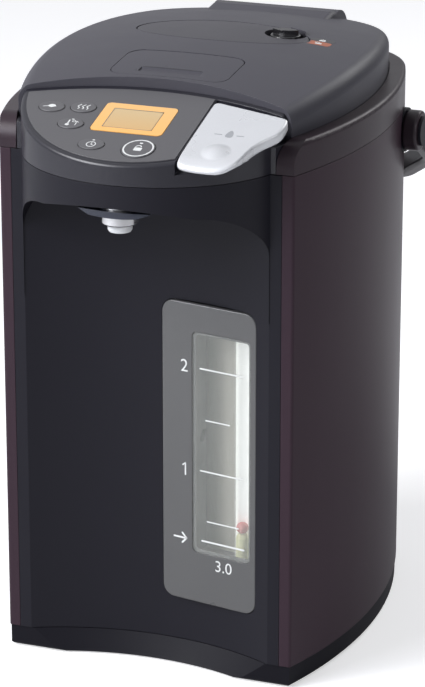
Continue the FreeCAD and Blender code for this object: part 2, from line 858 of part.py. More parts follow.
dimple_depth = 0.9
bind(dimple_ball, "Radius", dimple_radius)
dimple_up = 14.0
dimple_rise = s.lever_rise + dimple_radius - dimple_depth
place(dimple_ball, 50.0,
      -s.beak_reach + dimple_up * cosine(s.panel_slope) - dimple_rise * sine(s.panel_slope),
      s.beak_tip_z + dimple_up * sine(s.panel_slope) + dimple_rise * cosine(s.panel_slope))
node("dispense_lever",
     cut("dispense_lever", fuse("lever_built", cut("lever_thin", lever_soft, lever_hollow), barrel, web),
         barrel_bore, dimple_ball))

node("lever_pin", cylinder("lever_pin", s.lever_pin_radius, size(rib_x + rib_thick) - pin_left,
                           pin_left, pin_y, pin_z, (Vector(0, 1, 0), 90)))

lever_switch = Body("lever_switch")
lever_switch.pad("XY", [block(43.0, 40.0, 56.0, 46.0)], -s.lever_well, -s.lever_well + 3.2)
lever_switch.pad("XY", [block(47.0, 41.5, 49.0, 44.5)], -s.lever_well + 3.1, -s.lever_well + 4.1)
node("lever_switch", tilted(lever_switch.body))


# Outlet: pipe, chromed nozzle with its tip, and the shroud under the hood

flange_z = s.arch_top + s.panel_wall + s.seam
nozzle_top = flange_z + 2.0
nozzle = Body("outlet_nozzle")
nozzle.turn([[(s.spout_bore, s.nozzle_low), (s.nozzle_radius - 0.8, s.nozzle_low),
              (s.nozzle_radius, s.nozzle_low + 0.8), (s.nozzle_radius, flange_z),
              (s.nozzle_radius + 2, flange_z), (s.nozzle_radius + 2, flange_z + 1.2),
              (s.pipe_radius + 2, flange_z + 1.2), (s.pipe_radius + 2, nozzle_top),
              (s.spout_bore, nozzle_top)]])
node("outlet_nozzle", place(nozzle.body, 0.0, -s.nozzle_reach, 0.0))

tip = Body("nozzle_tip")
tip.turn([[(s.spout_bore, s.tip_low), (s.tip_radius - 0.6, s.tip_low),
           (s.tip_radius, s.tip_low + 1.0), (s.tip_radius, s.nozzle_low - 0.05),
           (s.spout_bore, s.nozzle_low - 0.05)]])
node("nozzle_tip", place(tip.body, 0.0, -s.nozzle_reach, 0.0))

shroud = Body("nozzle_shroud")
shroud_inner = s.nozzle_radius + s.seam
shroud_top = s.arch_top - 2.4
shroud.turn([[(shroud_inner, shroud_top - 3.6), (shroud_inner + 7, shroud_top - 2.8),
              (shroud_inner + 11.5, shroud_top), (shroud_inner, shroud_top)]])
shroud_trim = nose("shroud_trim", s.beak_radius - s.panel_wall - s.seam, 200.0, 300.0)
node("nozzle_shroud", common("nozzle_shroud", place(shroud.body, 0.0, -s.nozzle_reach, 0.0),
                             shroud_trim))


def path_of(points, radius):
    """Wire of straight runs joined by tangent arcs."""
    edges = []
    last = points[0]
    for before, corner, after in zip(points, points[1:], points[2:]):
        into, out = (corner - before).normalize(), (after - corner).normalize()
        turn = into.getAngle(out)
        reach = radius * math.tan(turn / 2)
        start, end = corner - into * reach, corner + out * reach
        inward = (out - into).normalize()
        centre = corner + inward * (radius / math.cos(turn / 2))
        mid = centre + (corner - centre).normalize() * radius
        edges.append(Part.LineSegment(last, start).toShape())
        edges.append(Part.Arc(start, mid, end).toShape())
        last = end
    edges.append(Part.LineSegment(last, points[-1]).toShape())
    return Part.Wire(edges)


def tube(name, points, outer, bore, bend):
    """Bent pipe along a path; sweeps have no primitive that follows one."""
    path = path_of(points, bend)
    start = points[0]
    heading = (points[1] - points[0]).normalize()
    solids = []
    for radius in (outer, bore):
        ring = Part.Wire(Part.makeCircle(radius, start, heading))
        solids.append(path.makePipeShell([ring], True, True))
    item = doc.addObject("Part::Feature", name)
    item.Shape = solids[0].cut(solids[1])
    return node(name, item)


turn_cos, turn_sin = cosine(s.gauge_turn), sine(s.gauge_turn)


def gauge_spot(along, depth):
    """Place in plan of a point of the gauge, along its face and behind it."""
    along, depth = size(along), size(depth)
    x = s.gauge_x + along * turn_cos + depth * turn_sin
    y = -s.gauge_reach - along * turn_sin + depth * turn_cos
    return x, y


tube_x, tube_y = [float(v) for v in gauge_spot(s.tube_along, s.tube_depth)]
tube_low = float(s.window_low) - 13
tube_high = float(s.window_high) + 13
turn_z = float(s.arch_top) + 1.0
spout_z = float(nozzle_top) + 6.0
tube("outlet_pipe",
     [Vector(tube_x, tube_y, tube_high + 0.3), Vector(tube_x, tube_y, turn_z),
      Vector(0, -float(s.nozzle_reach), spout_z), Vector(0, -float(s.nozzle_reach), float(nozzle_top) + 0.1)],
     float(s.pipe_radius), float(s.pipe_radius) - 1.0, 4.6)


# Level gauge: frame with its case, clear window, reflector, glass tube, float and seals

case_left = s.window_left - 3
case_right = s.gauge_right - 0.5
case_low = s.window_low - 5
case_high = s.window_high + 5
glass_x = s.tube_along
case_depth = s.gauge_case_depth
frame = Body("gauge_frame")
frame.pad("XZ", [rounded(s.gauge_left, s.gauge_low, s.gauge_right, s.gauge_high, 7.0)],
          -s.gauge_plate, 0.0)
frame.round(0.7, lambda e: near(middle(e).y, 0.0))
frame.pad("XZ", [rounded(case_left, case_low, case_right, case_high, 3.0)],
          -case_depth, -s.gauge_plate + 0.1)
frame.pocket("XZ", [rounded(case_left + 1.5, case_low + 1.5, case_right - 1.5, case_high - 1.5, 1.5)],
             -case_depth + 1.2, -s.gauge_plate)
frame.pocket("XZ", [rounded(s.window_left - s.seam, s.window_low - s.seam, s.window_right + s.seam,
                            s.window_high + s.seam, 3.3)], -s.window_thick, 1.0)
frame.pocket("XZ", [rounded(s.window_left + 1.5, s.window_low + 1.5, s.window_right - 1.5,
                            s.window_high - 1.5, 2.0)], -s.gauge_plate - 1, 1.0)
frame.pocket("XY", [("circle", glass_x, s.tube_depth, s.tube_radius + s.seam)],
             case_low - 1, case_high + 1)
node("gauge_frame", gauge_frame_of(frame.body))

pane = Body("gauge_window")
pane.pad("XZ", [rounded(s.window_left, s.window_low, s.window_right, s.window_high, 3.0)],
         -s.window_thick + 0.1, 0.0)
node("gauge_window", gauge_frame_of(pane.body))

reflector = Body("gauge_reflector")
reflector.pad("XZ", [block(case_left + 2.3, case_low + 2.3, case_right - 2.3, case_high - 2.3)],
              -case_depth + 1.25, -case_depth + 1.75)
node("gauge_reflector", gauge_frame_of(reflector.body))


def standing(name, profiles):
    """Turned piece on the axis of the gauge tube."""
    body = Body(name)
    for profile in profiles:
        body.turn([profile])
    x, y = gauge_spot(s.tube_along, s.tube_depth)
    return node(name, place(body.body, x, y, 0.0))


tube_base = s.window_low - 13
tube_top = s.window_high + 13
standing("gauge_tube", [[(s.tube_bore, tube_base), (s.tube_radius, tube_base),
                         (s.tube_radius, tube_top), (s.tube_bore, tube_top)]])
seal_out = s.tube_radius + 1.2
seal_in = s.tube_radius + s.running_gap
seals = []
for end, way in ((tube_base, -1), (tube_top, 1)):
    near_z, far_z = end - 7.0 * way, end + 6.0 * way
    seals.append([(seal_in, near_z), (seal_out, near_z), (seal_out, far_z), (s.pipe_radius + 0.1, far_z),
                  (s.pipe_radius + 0.1, end + 0.2 * way), (seal_in, end + 0.2 * way)])
seals[0] = seals[0][::-1]
standing("tube_seals", seals)

ball = doc.addObject("Part::Sphere", "float_ball")
bind(ball, "Radius", s.ball_radius)
ball_x, ball_y = gauge_spot(s.tube_along, s.tube_depth)
node("float_ball", place(ball, ball_x, ball_y, s.ball_rest))
rest_top = s.ball_rest - s.ball_radius - 0.1
standing("float_rest", [[(1.2, rest_top - 14), (s.tube_bore - 0.1, rest_top - 14),
                         (s.tube_bore - 0.1, rest_top - 2), (2.2, rest_top), (1.2, rest_top)]])


# Shoulder ring: brown rim round the lid with the seat of the vessel and the hinge notch

ring_floor_low = s.ring_floor - s.ring_floor_thick
barrel_clear = s.barrel_radius + 0.8
ring = Body("ring")
ring.pad("XY", [plan()], s.shell_top + s.seam, s.ring_top)
ring.round(2.4, lambda e: near(middle(e).z, s.ring_top) and middle(e).y > -90)
ring.pocket("XY", [plan(s.ring_ledge)], s.ring_floor, s.ring_top + 1)
ring.pocket("XY", [plan(2.5)], s.shell_top, ring_floor_low)
ring.pocket("XY", [("circle", 0.0, s.vessel_y, s.mouth_radius)], s.shell_top, s.ring_top)
front_cut = common(
    "ring_front_cut",
    prism("ring_front_plan", "XY", [plan(s.ring_ledge, -20.0)], s.shell_top - 5, s.ring_top + 20),
    front_arc("ring_front_arc", s.parting_radius + s.lid_gap, 200.0, 400.0))
round_y = s.ring_front_round - s.front_reach
round_z = s.ring_top - s.ring_front_round
ring_nose = prism(
    "ring_nose", "YZ",
    [[(-s.front_reach - 3, round_z), (-s.front_reach, round_z, -s.ring_front_round),
      (round_y, s.ring_top), (round_y, s.ring_top + 3), (-s.front_reach - 3, s.ring_top + 3)]],
    -120.0, 120.0)
notch = cylinder("hinge_notch", barrel_clear, s.barrel_half * 2 + 1.2, -s.barrel_half - 0.6, s.hinge_y,
                 s.hinge_z, (Vector(0, 1, 0), 90))
node("shoulder_ring", cut("shoulder_ring", ring.body, front_cut, ring_nose, notch))


# Lid: crowned cover over a hollow body, cut by the parting line, with the hinge barrel

def crown(label, drop, low=255.0):
    """Doubly bowed solid whose top is the lid's crown, lowered by a drop."""
    long_bow = s.lid_long_bow - drop
    top = s.lid_crest_z - drop
    half = size(130)
    end_z = top - long_bow + root(long_bow * long_bow - half * half)
    sketch = flat_sketch(label, "YZ", [[(s.lid_crest_y - half, low), (s.lid_crest_y + half, low),
                                        (s.lid_crest_y + half, end_z, long_bow),
                                        (s.lid_crest_y - half, end_z)]])
    item = doc.addObject("Part::Revolution", label)
    item.Source = sketch
    item.Axis = Vector(0, 1, 0)
    bind(item, "Base.z", s.lid_crest_z - s.lid_side_bow)
    item.Angle = 30
    item.Symmetric = True
    item.Solid = True
    return item


lid_inset = s.ring_ledge + s.lid_gap
lid_plan = prism("lid_plan", "XY", [plan(lid_inset)], s.lid_bottom, 340.0)
lid_mass = cut("lid_mass", common("lid_crowned", lid_plan, crown("lid_crown", 0.0)),
               front_arc("lid_front_arc", s.parting_radius + s.lid_gap, 200.0, 400.0))
lid_soft = rounded_edges(
    "lid_soft", lid_mass, s.lid_edge_round,
    lambda e: e.BoundBox.ZMin > float(s.ring_top) + 4 and e.BoundBox.YMax > -60)
barrel_round = cylinder("barrel_round", s.barrel_radius, s.barrel_half * 2, -s.barrel_half, s.hinge_y,
                        s.hinge_z, (Vector(0, 1, 0), 90))
barrel_deck = prism(
    "barrel_deck", "YZ",
    [[(s.hinge_y - 24, s.hinge_z - 5), (s.hinge_y, s.hinge_z - 5), (s.hinge_y, s.hinge_z + s.barrel_radius),
      (s.hinge_y - 8, s.hinge_z + s.barrel_radius + 0.9), (s.hinge_y - 24, s.hinge_z + 15)]],
    -s.barrel_half, s.barrel_half)
barrel_mass = rounded_edges(
    "barrel_soft", fuse("barrel_mass", barrel_round, barrel_deck), 3.0,
    lambda e: near(abs(middle(e).x), s.barrel_half) and middle(e).z > float(s.hinge_z) + 3)
inner_top = common("lid_hollow",
                   prism("lid_hollow_plan", "XY", [plan(lid_inset + s.lid_wall)], s.lid_bottom - 1,
                         340.0),
                   crown("lid_hollow_crown", s.latch_well + 2.5))
lid_hollow = cut("lid_hollow_shape", inner_top,
                 front_arc("lid_hollow_arc", s.parting_radius + s.lid_gap + s.lid_wall, 200.0, 400.0),
                 cylinder("barrel_keep", s.barrel_radius + 1.5, s.barrel_half * 2 + 4,
                          -s.barrel_half - 2, s.hinge_y, s.hinge_z, (Vector(0, 1, 0), 90)))
latch_gap = 0.4
latch_hollow = cut(
    "latch_hollow",
    prism("latch_hollow_plan", "XY",
          [rounded(-s.latch_half_width - latch_gap, -s.latch_front - latch_gap,
                   s.latch_half_width + latch_gap, -s.latch_rear + s.latch_swing_gap,
                   7.5 + latch_gap)],
          290.0, 340.0),
    crown("latch_floor", s.latch_well))
push_hole = prism("push_hole", "XY",
                  [("oval", 0.0, s.push_y, s.push_half_width + 0.5, s.push_half_depth + 0.5)],
                  280.0, 340.0)
knob_low = s.lid_crest_z - 8.5
knob_hole = cylinder("knob_hole", s.knob_radius + 0.4, 30.0, s.knob_x, s.knob_y, knob_low)
knob_seat = cylinder("knob_seat", s.knob_radius + 2.4, 10.5, s.knob_x, s.knob_y, knob_low - 2.0)
knob_bore_radius = 3.0
knob_bore = cylinder("knob_bore", knob_bore_radius + s.running_gap, 60.0, s.knob_x, s.knob_y, 280.0)
pin_drop = 4.4
latch_pin_y = -s.latch_rear - 3.5
latch_pin_z = s.lid_crest_z - pin_drop - 2.1
latch_pin_radius = 1.2
latch_pin_hole = cylinder("latch_pin_hole", latch_pin_radius + s.running_gap,
                          s.latch_half_width * 2 + 6, -s.latch_half_width - 3, latch_pin_y,
                          latch_pin_z, (Vector(0, 1, 0), 90))
hook_slot = box("hook_slot", -10.4, -90.0, catch_low, 10.4, -50.0, catch_high)
slots = [box(f"ear_slot_{i}", way * s.ear_x - s.ear_thick / 2 - 0.5, s.hinge_y - 7.0, 250.0,
             way * s.ear_x + s.ear_thick / 2 + 0.5, s.hinge_y + 40, s.hinge_z + 7.0)
         for i, way in enumerate((-1, 1))]
hinge_bore = cylinder("hinge_bore", s.hinge_pin_radius + s.running_gap, s.barrel_half * 2 - 4,
                      -s.barrel_half + 2, s.hinge_y, s.hinge_z, (Vector(0, 1, 0), 90))
lid_shell = fuse("lid_shell", cut("lid_open", lid_soft, lid_hollow), barrel_mass, knob_seat)
node("lid_cover", cut("lid_cover", lid_shell, latch_hollow, push_hole, knob_hole, knob_bore,
                      latch_pin_hole, hook_slot, *slots, hinge_bore))


# Hinge on the shoulder ring: bracket with two ears, and its pin

ear_radius = 5.5
ear_foot = s.hinge_z - root(barrel_clear * barrel_clear - size(ear_radius) * ear_radius) + 0.05
bracket = Body("hinge_bracket")
for way in (-1, 1):
    centre = s.ear_x * way
    bracket.pad("YZ", [[(s.hinge_y - ear_radius, ear_foot, barrel_clear),
                        (s.hinge_y + ear_radius, ear_foot),
                        (s.hinge_y + ear_radius, s.hinge_z, ear_radius * 1.001),
                        (s.hinge_y - ear_radius, s.hinge_z)]],
                centre - s.ear_thick / 2, centre + s.ear_thick / 2)
bracket.pocket("YZ", [("circle", s.hinge_y, s.hinge_z, s.hinge_pin_radius + 0.02)],
               -s.barrel_half, s.barrel_half)
node("hinge_bracket", bracket.body)
node("hinge_pin", cylinder("hinge_pin", s.hinge_pin_radius, s.barrel_half * 2 - 5, -s.barrel_half + 2.5,
                           s.hinge_y, s.hinge_z, (Vector(0, 1, 0), 90)))


# Lid underside: base plate, insulation, steel inner plate and gasket

flange_low = s.ring_floor + s.seam
flange_top = flange_low + s.vessel_wall
gasket_low = flange_top + 0.3
gasket_top = gasket_low + 2.4
rim_low = gasket_top + 0.05
rim_top = rim_low + 0.8
base_low = rim_top + 0.05
base_top = base_low + 2.2
plug_radius = s.neck_radius - 3.6
plug_low = size(268.0)
chamber_radius = 21.0
lid_base = common(
    "lid_base",
    prism("lid_base_plan", "XY",
          [plan(lid_inset + s.lid_wall + 0.3), ("circle", 0.0, s.push_y, chamber_radius + 2.3)],
          base_low, base_top),
    box("lid_base_rear", -200.0, -s.parting_reach + 8, 200.0, 200.0, s.hinge_y - s.barrel_radius - 2,
        400.0))
hook_rail = box("hook_rail", -13.0, -s.parting_reach + 9, base_top - 0.1, 13.0, -44.0, catch_low - 0.1)
node("lid_base", fuse("lid_base_built", lid_base, hook_rail))


def vessel_piece(name, outline):
    body = Body(name)
    body.turn([outline])
    return node(name, place(body.body, 0.0, s.vessel_y, 0.0))


vessel_piece("lid_inner_plate",
             [(0.0, plug_low), (plug_radius, plug_low), (plug_radius, rim_low),
              (s.flange_radius - 5, rim_low), (s.flange_radius - 5, rim_top),
              (plug_radius - 0.8, rim_top), (plug_radius - 0.8, plug_low + 0.8), (0.0, plug_low + 0.8)])
vessel_piece("lid_gasket",
             [(s.neck_radius + 2, gasket_low + 0.5), (s.neck_radius + 4, gasket_low),
              (s.flange_radius - 6, gasket_low), (s.flange_radius - 5, gasket_low + 0.5),
              (s.flange_radius - 5, gasket_top), (s.neck_radius + 2, gasket_top)])
insulation = Body("lid_insulation")
insulation.pad("XY", [("circle", 0.0, s.vessel_y, plug_radius - 1.3),
                      ("circle", 0.0, s.push_y, chamber_radius + 2.3)], plug_low + 1.0, rim_top - 0.1)
node("lid_insulation", insulation.body)

chamber = Body("air_chamber")
chamber_top = s.lid_crest_z - 6 - s.push_travel - 4
chamber.pad("XY", [("circle", 0.0, 0.0, chamber_radius + 2)], plug_low + 0.95, chamber_top)
chamber.pocket("XY", [("circle", 0.0, 0.0, chamber_radius)], plug_low + 2.5, chamber_top + 1)
node("air_chamber", place(chamber.body, 0.0, s.push_y, 0.0))


# Push plate: oval cap with a piston in the air chamber, notched round the lock knob

plate_under = s.lid_crest_z - 6
plate_mass = common(
    "push_plate_mass",
    prism("push_plate_plan", "XY", [("oval", 0.0, s.push_y, s.push_half_width, s.push_half_depth)],
          plate_under, 340.0), crown("push_crown", 0.0))
plate_soft = rounded_edges("push_plate_soft", plate_mass, 1.0,
                           lambda e: e.BoundBox.ZMin > float(plate_under) + 1 and e.Length > 30)
piston = cylinder("push_piston", chamber_radius - 0.4, plate_under - chamber_top + 8, 0.0, s.push_y,
                  chamber_top - 7.5)
knob_clear = cylinder("knob_clear", s.knob_radius + 3.0, 60.0, s.knob_x, s.knob_y, 290.0)
node("push_plate", cut("push_plate", fuse("push_built", plate_soft, piston), knob_clear))

knob = Body("lock_knob")
knob_top = s.lid_crest_z - 1.2
knob.pad("XY", [("circle", 0.0, 0.0, s.knob_radius)], knob_low + 0.3, knob_top)
knob.round(0.6, lambda e: near(middle(e).z, knob_top))
fin_half = s.knob_radius - 1.0
knob.pad("XY", [[(-fin_half, 0.0, fin_half * 1.5), (fin_half, 0.0, fin_half * 1.5)]], knob_top - 0.1,
         knob_top + 2.6)
knob.pad("XY", [("circle", 0.0, 0.0, knob_bore_radius)], knob_low - 4, knob_low + 0.4)
node("lock_knob", place(knob.body, s.knob_x, s.knob_y, 0.0))


# Latch: lifting plate with a finger groove, its pin, and the hook that slides into the beak

latch_plate = cut(
    "latch_plate",
    common("latch_skin",
           prism("latch_plan", "XY",
                 [rounded(-s.latch_half_width, -s.latch_front, s.latch_half_width, -s.latch_rear, 7.5)],
                 290.0, 340.0), crown("latch_crown", 0.0)),
    crown("latch_under", s.latch_thick))
latch_lug = box("latch_lug", -14.0, latch_pin_y - 2.2, latch_pin_z - 2.0, 14.0, latch_pin_y + 2.2,
                latch_pin_z + 3.0)
groove_up = s.latch_front - 7.0
groove = doc.addObject("Part::Cylinder", "finger_groove")
bind(groove, "Radius", 6.0)
bind(groove, "Height", 34.0)
groove_crown = s.lid_crest_z - (groove_up + s.lid_crest_y) * (groove_up + s.lid_crest_y) \
    / (s.lid_long_bow * 2)
place(groove, -17.0, -groove_up, groove_crown + 5.0, (Vector(0, 1, 0), 90))
latch_bore = cylinder("latch_bore", latch_pin_radius + s.running_gap, 80.0, -40.0, latch_pin_y,
                      latch_pin_z, (Vector(0, 1, 0), 90))
node("latch_lever", cut("latch_lever", fuse("latch_built", latch_plate, latch_lug), groove, latch_bore))
node("latch_pin", cylinder("latch_pin", latch_pin_radius, s.latch_half_width * 2 + 5,
                           -s.latch_half_width - 2.5, latch_pin_y, latch_pin_z, (Vector(0, 1, 0), 90)))

hook = Body("latch_hook")
hook_tip = s.parting_reach - 0.7
hook.pad("YZ", [[(-hook_tip, catch_low + 0.3), (-44.0, catch_low + 0.3), (-44.0, catch_high - 0.3),
                 (-hook_tip + 3, catch_high - 0.3), (-hook_tip, catch_low + 2)]], -10.0, 10.0)
node("latch_hook", hook.body)


# Vessel: steel inner wall, vacuum jacket, heater and temperature sensor

neck_start = 262.0
neck_end = 274.0
vessel_inner = s.vessel_radius
wall = s.vessel_wall
vessel = Body("inner_vessel")
vessel.turn([[(0.0, s.vessel_floor), (vessel_inner + wall, s.vessel_floor),
              (vessel_inner + wall, neck_start), (s.neck_radius + wall, neck_end),
              (s.neck_radius + wall, flange_low), (s.flange_radius, flange_low),
              (s.flange_radius, flange_top), (s.neck_radius, flange_top), (s.neck_radius, neck_end),
              (vessel_inner, neck_start), (vessel_inner, s.vessel_floor + wall),
              (0.0, s.vessel_floor + wall)]])
drain_bore = 4.0
vessel.pocket("XY", [("circle", 0.0, s.pump_y - s.vessel_y, drain_bore)], s.vessel_floor - 5,
              s.vessel_floor + 5)
node("inner_vessel", place(vessel.body, 0.0, s.vessel_y, 0.0))

jacket = s.jacket_radius
neck_out = s.neck_radius + 6
vessel_piece("vacuum_jacket",
             [(jacket - 10, s.vessel_floor - 1.2), (jacket, s.vessel_floor - 1.2),
              (jacket, neck_start), (neck_out, neck_end), (neck_out, flange_low - 0.1),
              (s.neck_radius + wall + 0.1, flange_low - 0.1),
              (s.neck_radius + wall + 0.1, flange_low - 1.1), (neck_out - wall, flange_low - 1.1),
              (neck_out - wall, neck_end), (jacket - wall, neck_start),
              (jacket - wall, s.vessel_floor - 0.2), (jacket - 10, s.vessel_floor - 0.2)])
vessel_piece("plate_heater",
             [(22.0, s.vessel_floor - 3.2), (s.heater_radius, s.vessel_floor - 3.2),
              (s.heater_radius, s.vessel_floor - 0.2), (22.0, s.vessel_floor - 0.2)])
vessel_piece("temperature_sensor",
             [(0.0, s.vessel_floor - 8), (5.0, s.vessel_floor - 8), (5.0, s.vessel_floor - 3),
              (8.0, s.vessel_floor - 3), (8.0, s.vessel_floor - 0.2), (0.0, s.vessel_floor - 0.2)])


# Pump under the vessel: motor, impeller, housing and its two pipes

def pump_piece(name, *outlines):
    body = Body(name)
    for outline in outlines:
        body.turn([outline])
    return place(body.body, 0.0, s.pump_y, 0.0)


motor_low = cover_top + 0.2
shaft = 1.5
node("pump_motor", pump_piece("pump_motor", [
    (0.0, motor_low), (s.motor_radius, motor_low), (s.motor_radius, s.pump_low - 1.5),
    (s.motor_radius - 1.5, s.pump_low - 0.1), (shaft + 0.1, s.pump_low - 0.1),
    (shaft + 0.1, s.pump_low - 8), (0.0, s.pump_low - 8)]))
cavity_low = s.pump_low + 2.5
cavity_high = s.pump_high - 3.0
cavity_radius = 17.0
impeller_top = cavity_high - 1.5
node("pump_impeller", pump_piece(
    "pump_impeller",
    [(0.0, s.pump_low - 7), (shaft, s.pump_low - 7), (shaft, cavity_low + 1), (15.5, cavity_low + 1),
     (15.5, cavity_low + 2.4), (4.0, cavity_low + 2.4), (3.0, impeller_top), (0.0, impeller_top)]))
eye = 3.8
housing = pump_piece(
    "pump_casing",
    [(shaft + 0.3, s.pump_low), (s.pump_radius, s.pump_low), (s.pump_radius, s.pump_high),
     (eye, s.pump_high), (eye, cavity_high), (cavity_radius, cavity_high),
     (cavity_radius, cavity_low), (shaft + 0.3, cavity_low)])
outlet_z = (cavity_low + cavity_high) / 2
outlet_bore = cylinder("pump_outlet_bore", s.pipe_radius - 1, 40.0, 10.0, s.pump_y, outlet_z,
                       (Vector(0, 1, 0), 90))
node("pump_housing", cut("pump_housing", housing, outlet_bore))

drain = pump_piece("suction_pipe", [
    (eye, s.pump_high + 0.1), (eye + 3.5, s.pump_high + 0.1), (eye + 3.5, s.pump_high + 2),
    (eye + 1.5, s.pump_high + 2), (eye + 1.5, s.vessel_floor - 2), (eye + 3.5, s.vessel_floor - 2),
    (eye + 3.5, s.vessel_floor - 0.1), (eye, s.vessel_floor - 0.1)])
node("suction_pipe", drain)
tube("delivery_pipe",
     [Vector(float(s.pump_radius) + 0.1, float(s.pump_y), float(outlet_z)),
      Vector(tube_x, float(s.pump_y), float(outlet_z)), Vector(tube_x, tube_y, float(outlet_z)),
      Vector(tube_x, tube_y, tube_low - 0.3)], float(s.pipe_radius), float(s.pipe_radius) - 1.0, 6.0)


# Electrics: power board on the posts of the base cover, and the plug inlet at the back

mains = Body("power_board")
mains.pad("XY", [rounded(-44.0, 54.0, 44.0, 106.0, 2.0)], post_top + 0.1, post_top + 1.7)
mains.pad("XY", [block(-36.0, 66.0, -14.0, 86.0), block(-6.0, 62.0, 10.0, 74.0),
                 block(16.0, 70.0, 34.0, 90.0)], post_top + 1.6, post_top + 15)
mains.pad("XY", [("circle", -4.0, 90.0, 6.0)], post_top + 1.6, post_top + 20)
node("power_board", mains.body)

inlet_rear = rear_y + 1.6
inlet = Body("power_inlet")
inlet.pad("XZ", [rounded(-inlet_flange - 1, s.inlet_z - s.inlet_half_height - 2.5, inlet_flange + 1,
                         s.inlet_z + s.inlet_half_height + 2.5, 4.0)], -inlet_rear, -rear_y - 0.2)
inlet.pad("XZ", [rounded(-s.inlet_half_width, s.inlet_z - s.inlet_half_height, s.inlet_half_width,
                         s.inlet_z + s.inlet_half_height, 2.0)], -rear_y - 0.3, -rear_y + 14)
inlet.pocket("XZ", [rounded(-s.inlet_half_width + 2, s.inlet_z - s.inlet_half_height + 2,
                            s.inlet_half_width - 2, s.inlet_z + s.inlet_half_height - 2, 1.5)],
             -inlet_rear - 1, -rear_y + 10)
inlet.pad("XZ", [("circle", x, s.inlet_z, 1.8) for x in (-7.0, 7.0)], -rear_y + 3, -rear_y + 10.1)
node("power_inlet", inlet.body)


# Carrying handle: bail on two pivots, hanging behind the shell

EAR_RADIUS = 11.0
SHAFT_RADIUS = 5.0
WASHER_RADIUS = 8.0


def handle_shape():
    """Swept bail in its own plane: across the pivots in X, outwards in Y."""
    thick, deep = float(s.handle_thick), float(s.handle_deep)
    x0, reach = float(s.pivot_x) + thick / 2, float(s.handle_length)
    straight, lean, bend = 40.0, 30.0, 30.0
    right = [(x0, 0.0), (x0, straight), (x0 - lean, reach)]
    corners = [Vector(x, y, 0) for x, y in right] + [Vector(-x, y, 0) for x, y in right[::-1]]
    path = path_of(corners, bend)
    half, tall, soft = thick / 2, deep / 2, 2.5
    turns = ((0, -1), (1, -1), (1, 1), (-1, 1), (-1, -1), (0, -1))
    square = [Vector(x0 + i * half, 0, k * tall) for i, k in turns]
    section = path_of(square, soft)
    bail = path.makePipeShell([section], True, False)
    for way in (-1, 1):
        low_x = way * x0 - half
        disc = Part.makeCylinder(EAR_RADIUS, thick, Vector(low_x, 0, 0), Vector(1, 0, 0))
        rims = [e for e in disc.Edges if e.Length > 6 * EAR_RADIUS - 6]
        bail = bail.fuse(disc.makeFillet(1.5, rims))
    for way in (-1, 1):
        hole = Part.makeCylinder(SHAFT_RADIUS + float(s.running_gap), 3 * thick,
                                 Vector(way * x0 - 1.5 * thick, 0, 0), Vector(1, 0, 0))
        bail = bail.cut(hole)
    return bail


handle = doc.addObject("Part::Feature", "carry_handle")
handle.Shape = handle_shape()
node("carry_handle", place(handle, 0.0, s.pivot_y, s.pivot_z, (Vector(1, 0, 0), -s.handle_drop)))

pivots = Body("handle_pivots")
handle_out = s.pivot_x + s.handle_thick
for way in (-1, 1):
    spans = [(s.pivot_x - 7.5, s.pivot_x - 0.3, s.pivot_boss_radius),
             (s.pivot_x - 0.4, handle_out + 0.4, SHAFT_RADIUS),
             (handle_out + 0.3, handle_out + 1.8, WASHER_RADIUS)]
    for low, high, radius in spans:
        ends = (low, high) if way > 0 else (-high, -low)
        pivots.pad("YZ", [("circle", s.pivot_y, s.pivot_z, radius)], *ends)
node("handle_pivots", pivots.body)


# Build, check and write every sub-part

doc.recompute()
failed = [item.Label for item in doc.Objects if {"Invalid", "Error"} & set(item.State)]
for name, item in nodes.items():
    shape = item.Shape
    if shape.isNull() or not shape.isValid() or not shape.Solids:
        failed.append(name + " has no valid solid")
if failed:
    raise RuntimeError("failed: " + ", ".join(failed))
os.makedirs("parts", exist_ok=True)
for name, item in nodes.items():
    item.Shape.exportStep(f"parts/{name}.step")
    bounds = item.Shape.BoundBox
    print(f"{name:20s} solids {len(item.Shape.Solids):2d} volume {item.Shape.Volume:12.1f}"
          f" x {bounds.XMin:7.1f} {bounds.XMax:7.1f} y {bounds.YMin:7.1f} {bounds.YMax:7.1f}"
          f" z {bounds.ZMin:6.1f} {bounds.ZMax:6.1f}")
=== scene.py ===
import math

import bmesh
import bpy
from mathutils import Matrix, Vector
from mathutils.bvhtree import BVHTree


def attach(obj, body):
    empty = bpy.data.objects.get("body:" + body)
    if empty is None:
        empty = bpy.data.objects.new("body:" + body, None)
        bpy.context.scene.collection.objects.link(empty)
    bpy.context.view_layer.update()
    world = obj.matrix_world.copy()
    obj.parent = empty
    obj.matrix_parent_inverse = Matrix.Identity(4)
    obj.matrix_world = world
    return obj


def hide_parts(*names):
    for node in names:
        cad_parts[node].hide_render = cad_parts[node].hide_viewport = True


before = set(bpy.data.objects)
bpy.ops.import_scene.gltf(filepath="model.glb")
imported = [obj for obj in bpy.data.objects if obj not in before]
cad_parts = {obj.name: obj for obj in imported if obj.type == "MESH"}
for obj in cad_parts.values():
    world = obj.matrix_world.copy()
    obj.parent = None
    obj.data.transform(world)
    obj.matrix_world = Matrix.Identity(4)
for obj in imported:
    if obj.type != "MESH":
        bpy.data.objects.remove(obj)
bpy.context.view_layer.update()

MM = 0.001

# Electric thermo pot on a white sweep. The pot stands on its feet at z = 0 and its spout faces -Y.


# The room: a plain pale floor that runs on to the horizon, a surrounding that glossy parts mirror
# as brighter at the upper left, and four large soft lamps: high on the left, low on the right,
# behind, and in front on the left.

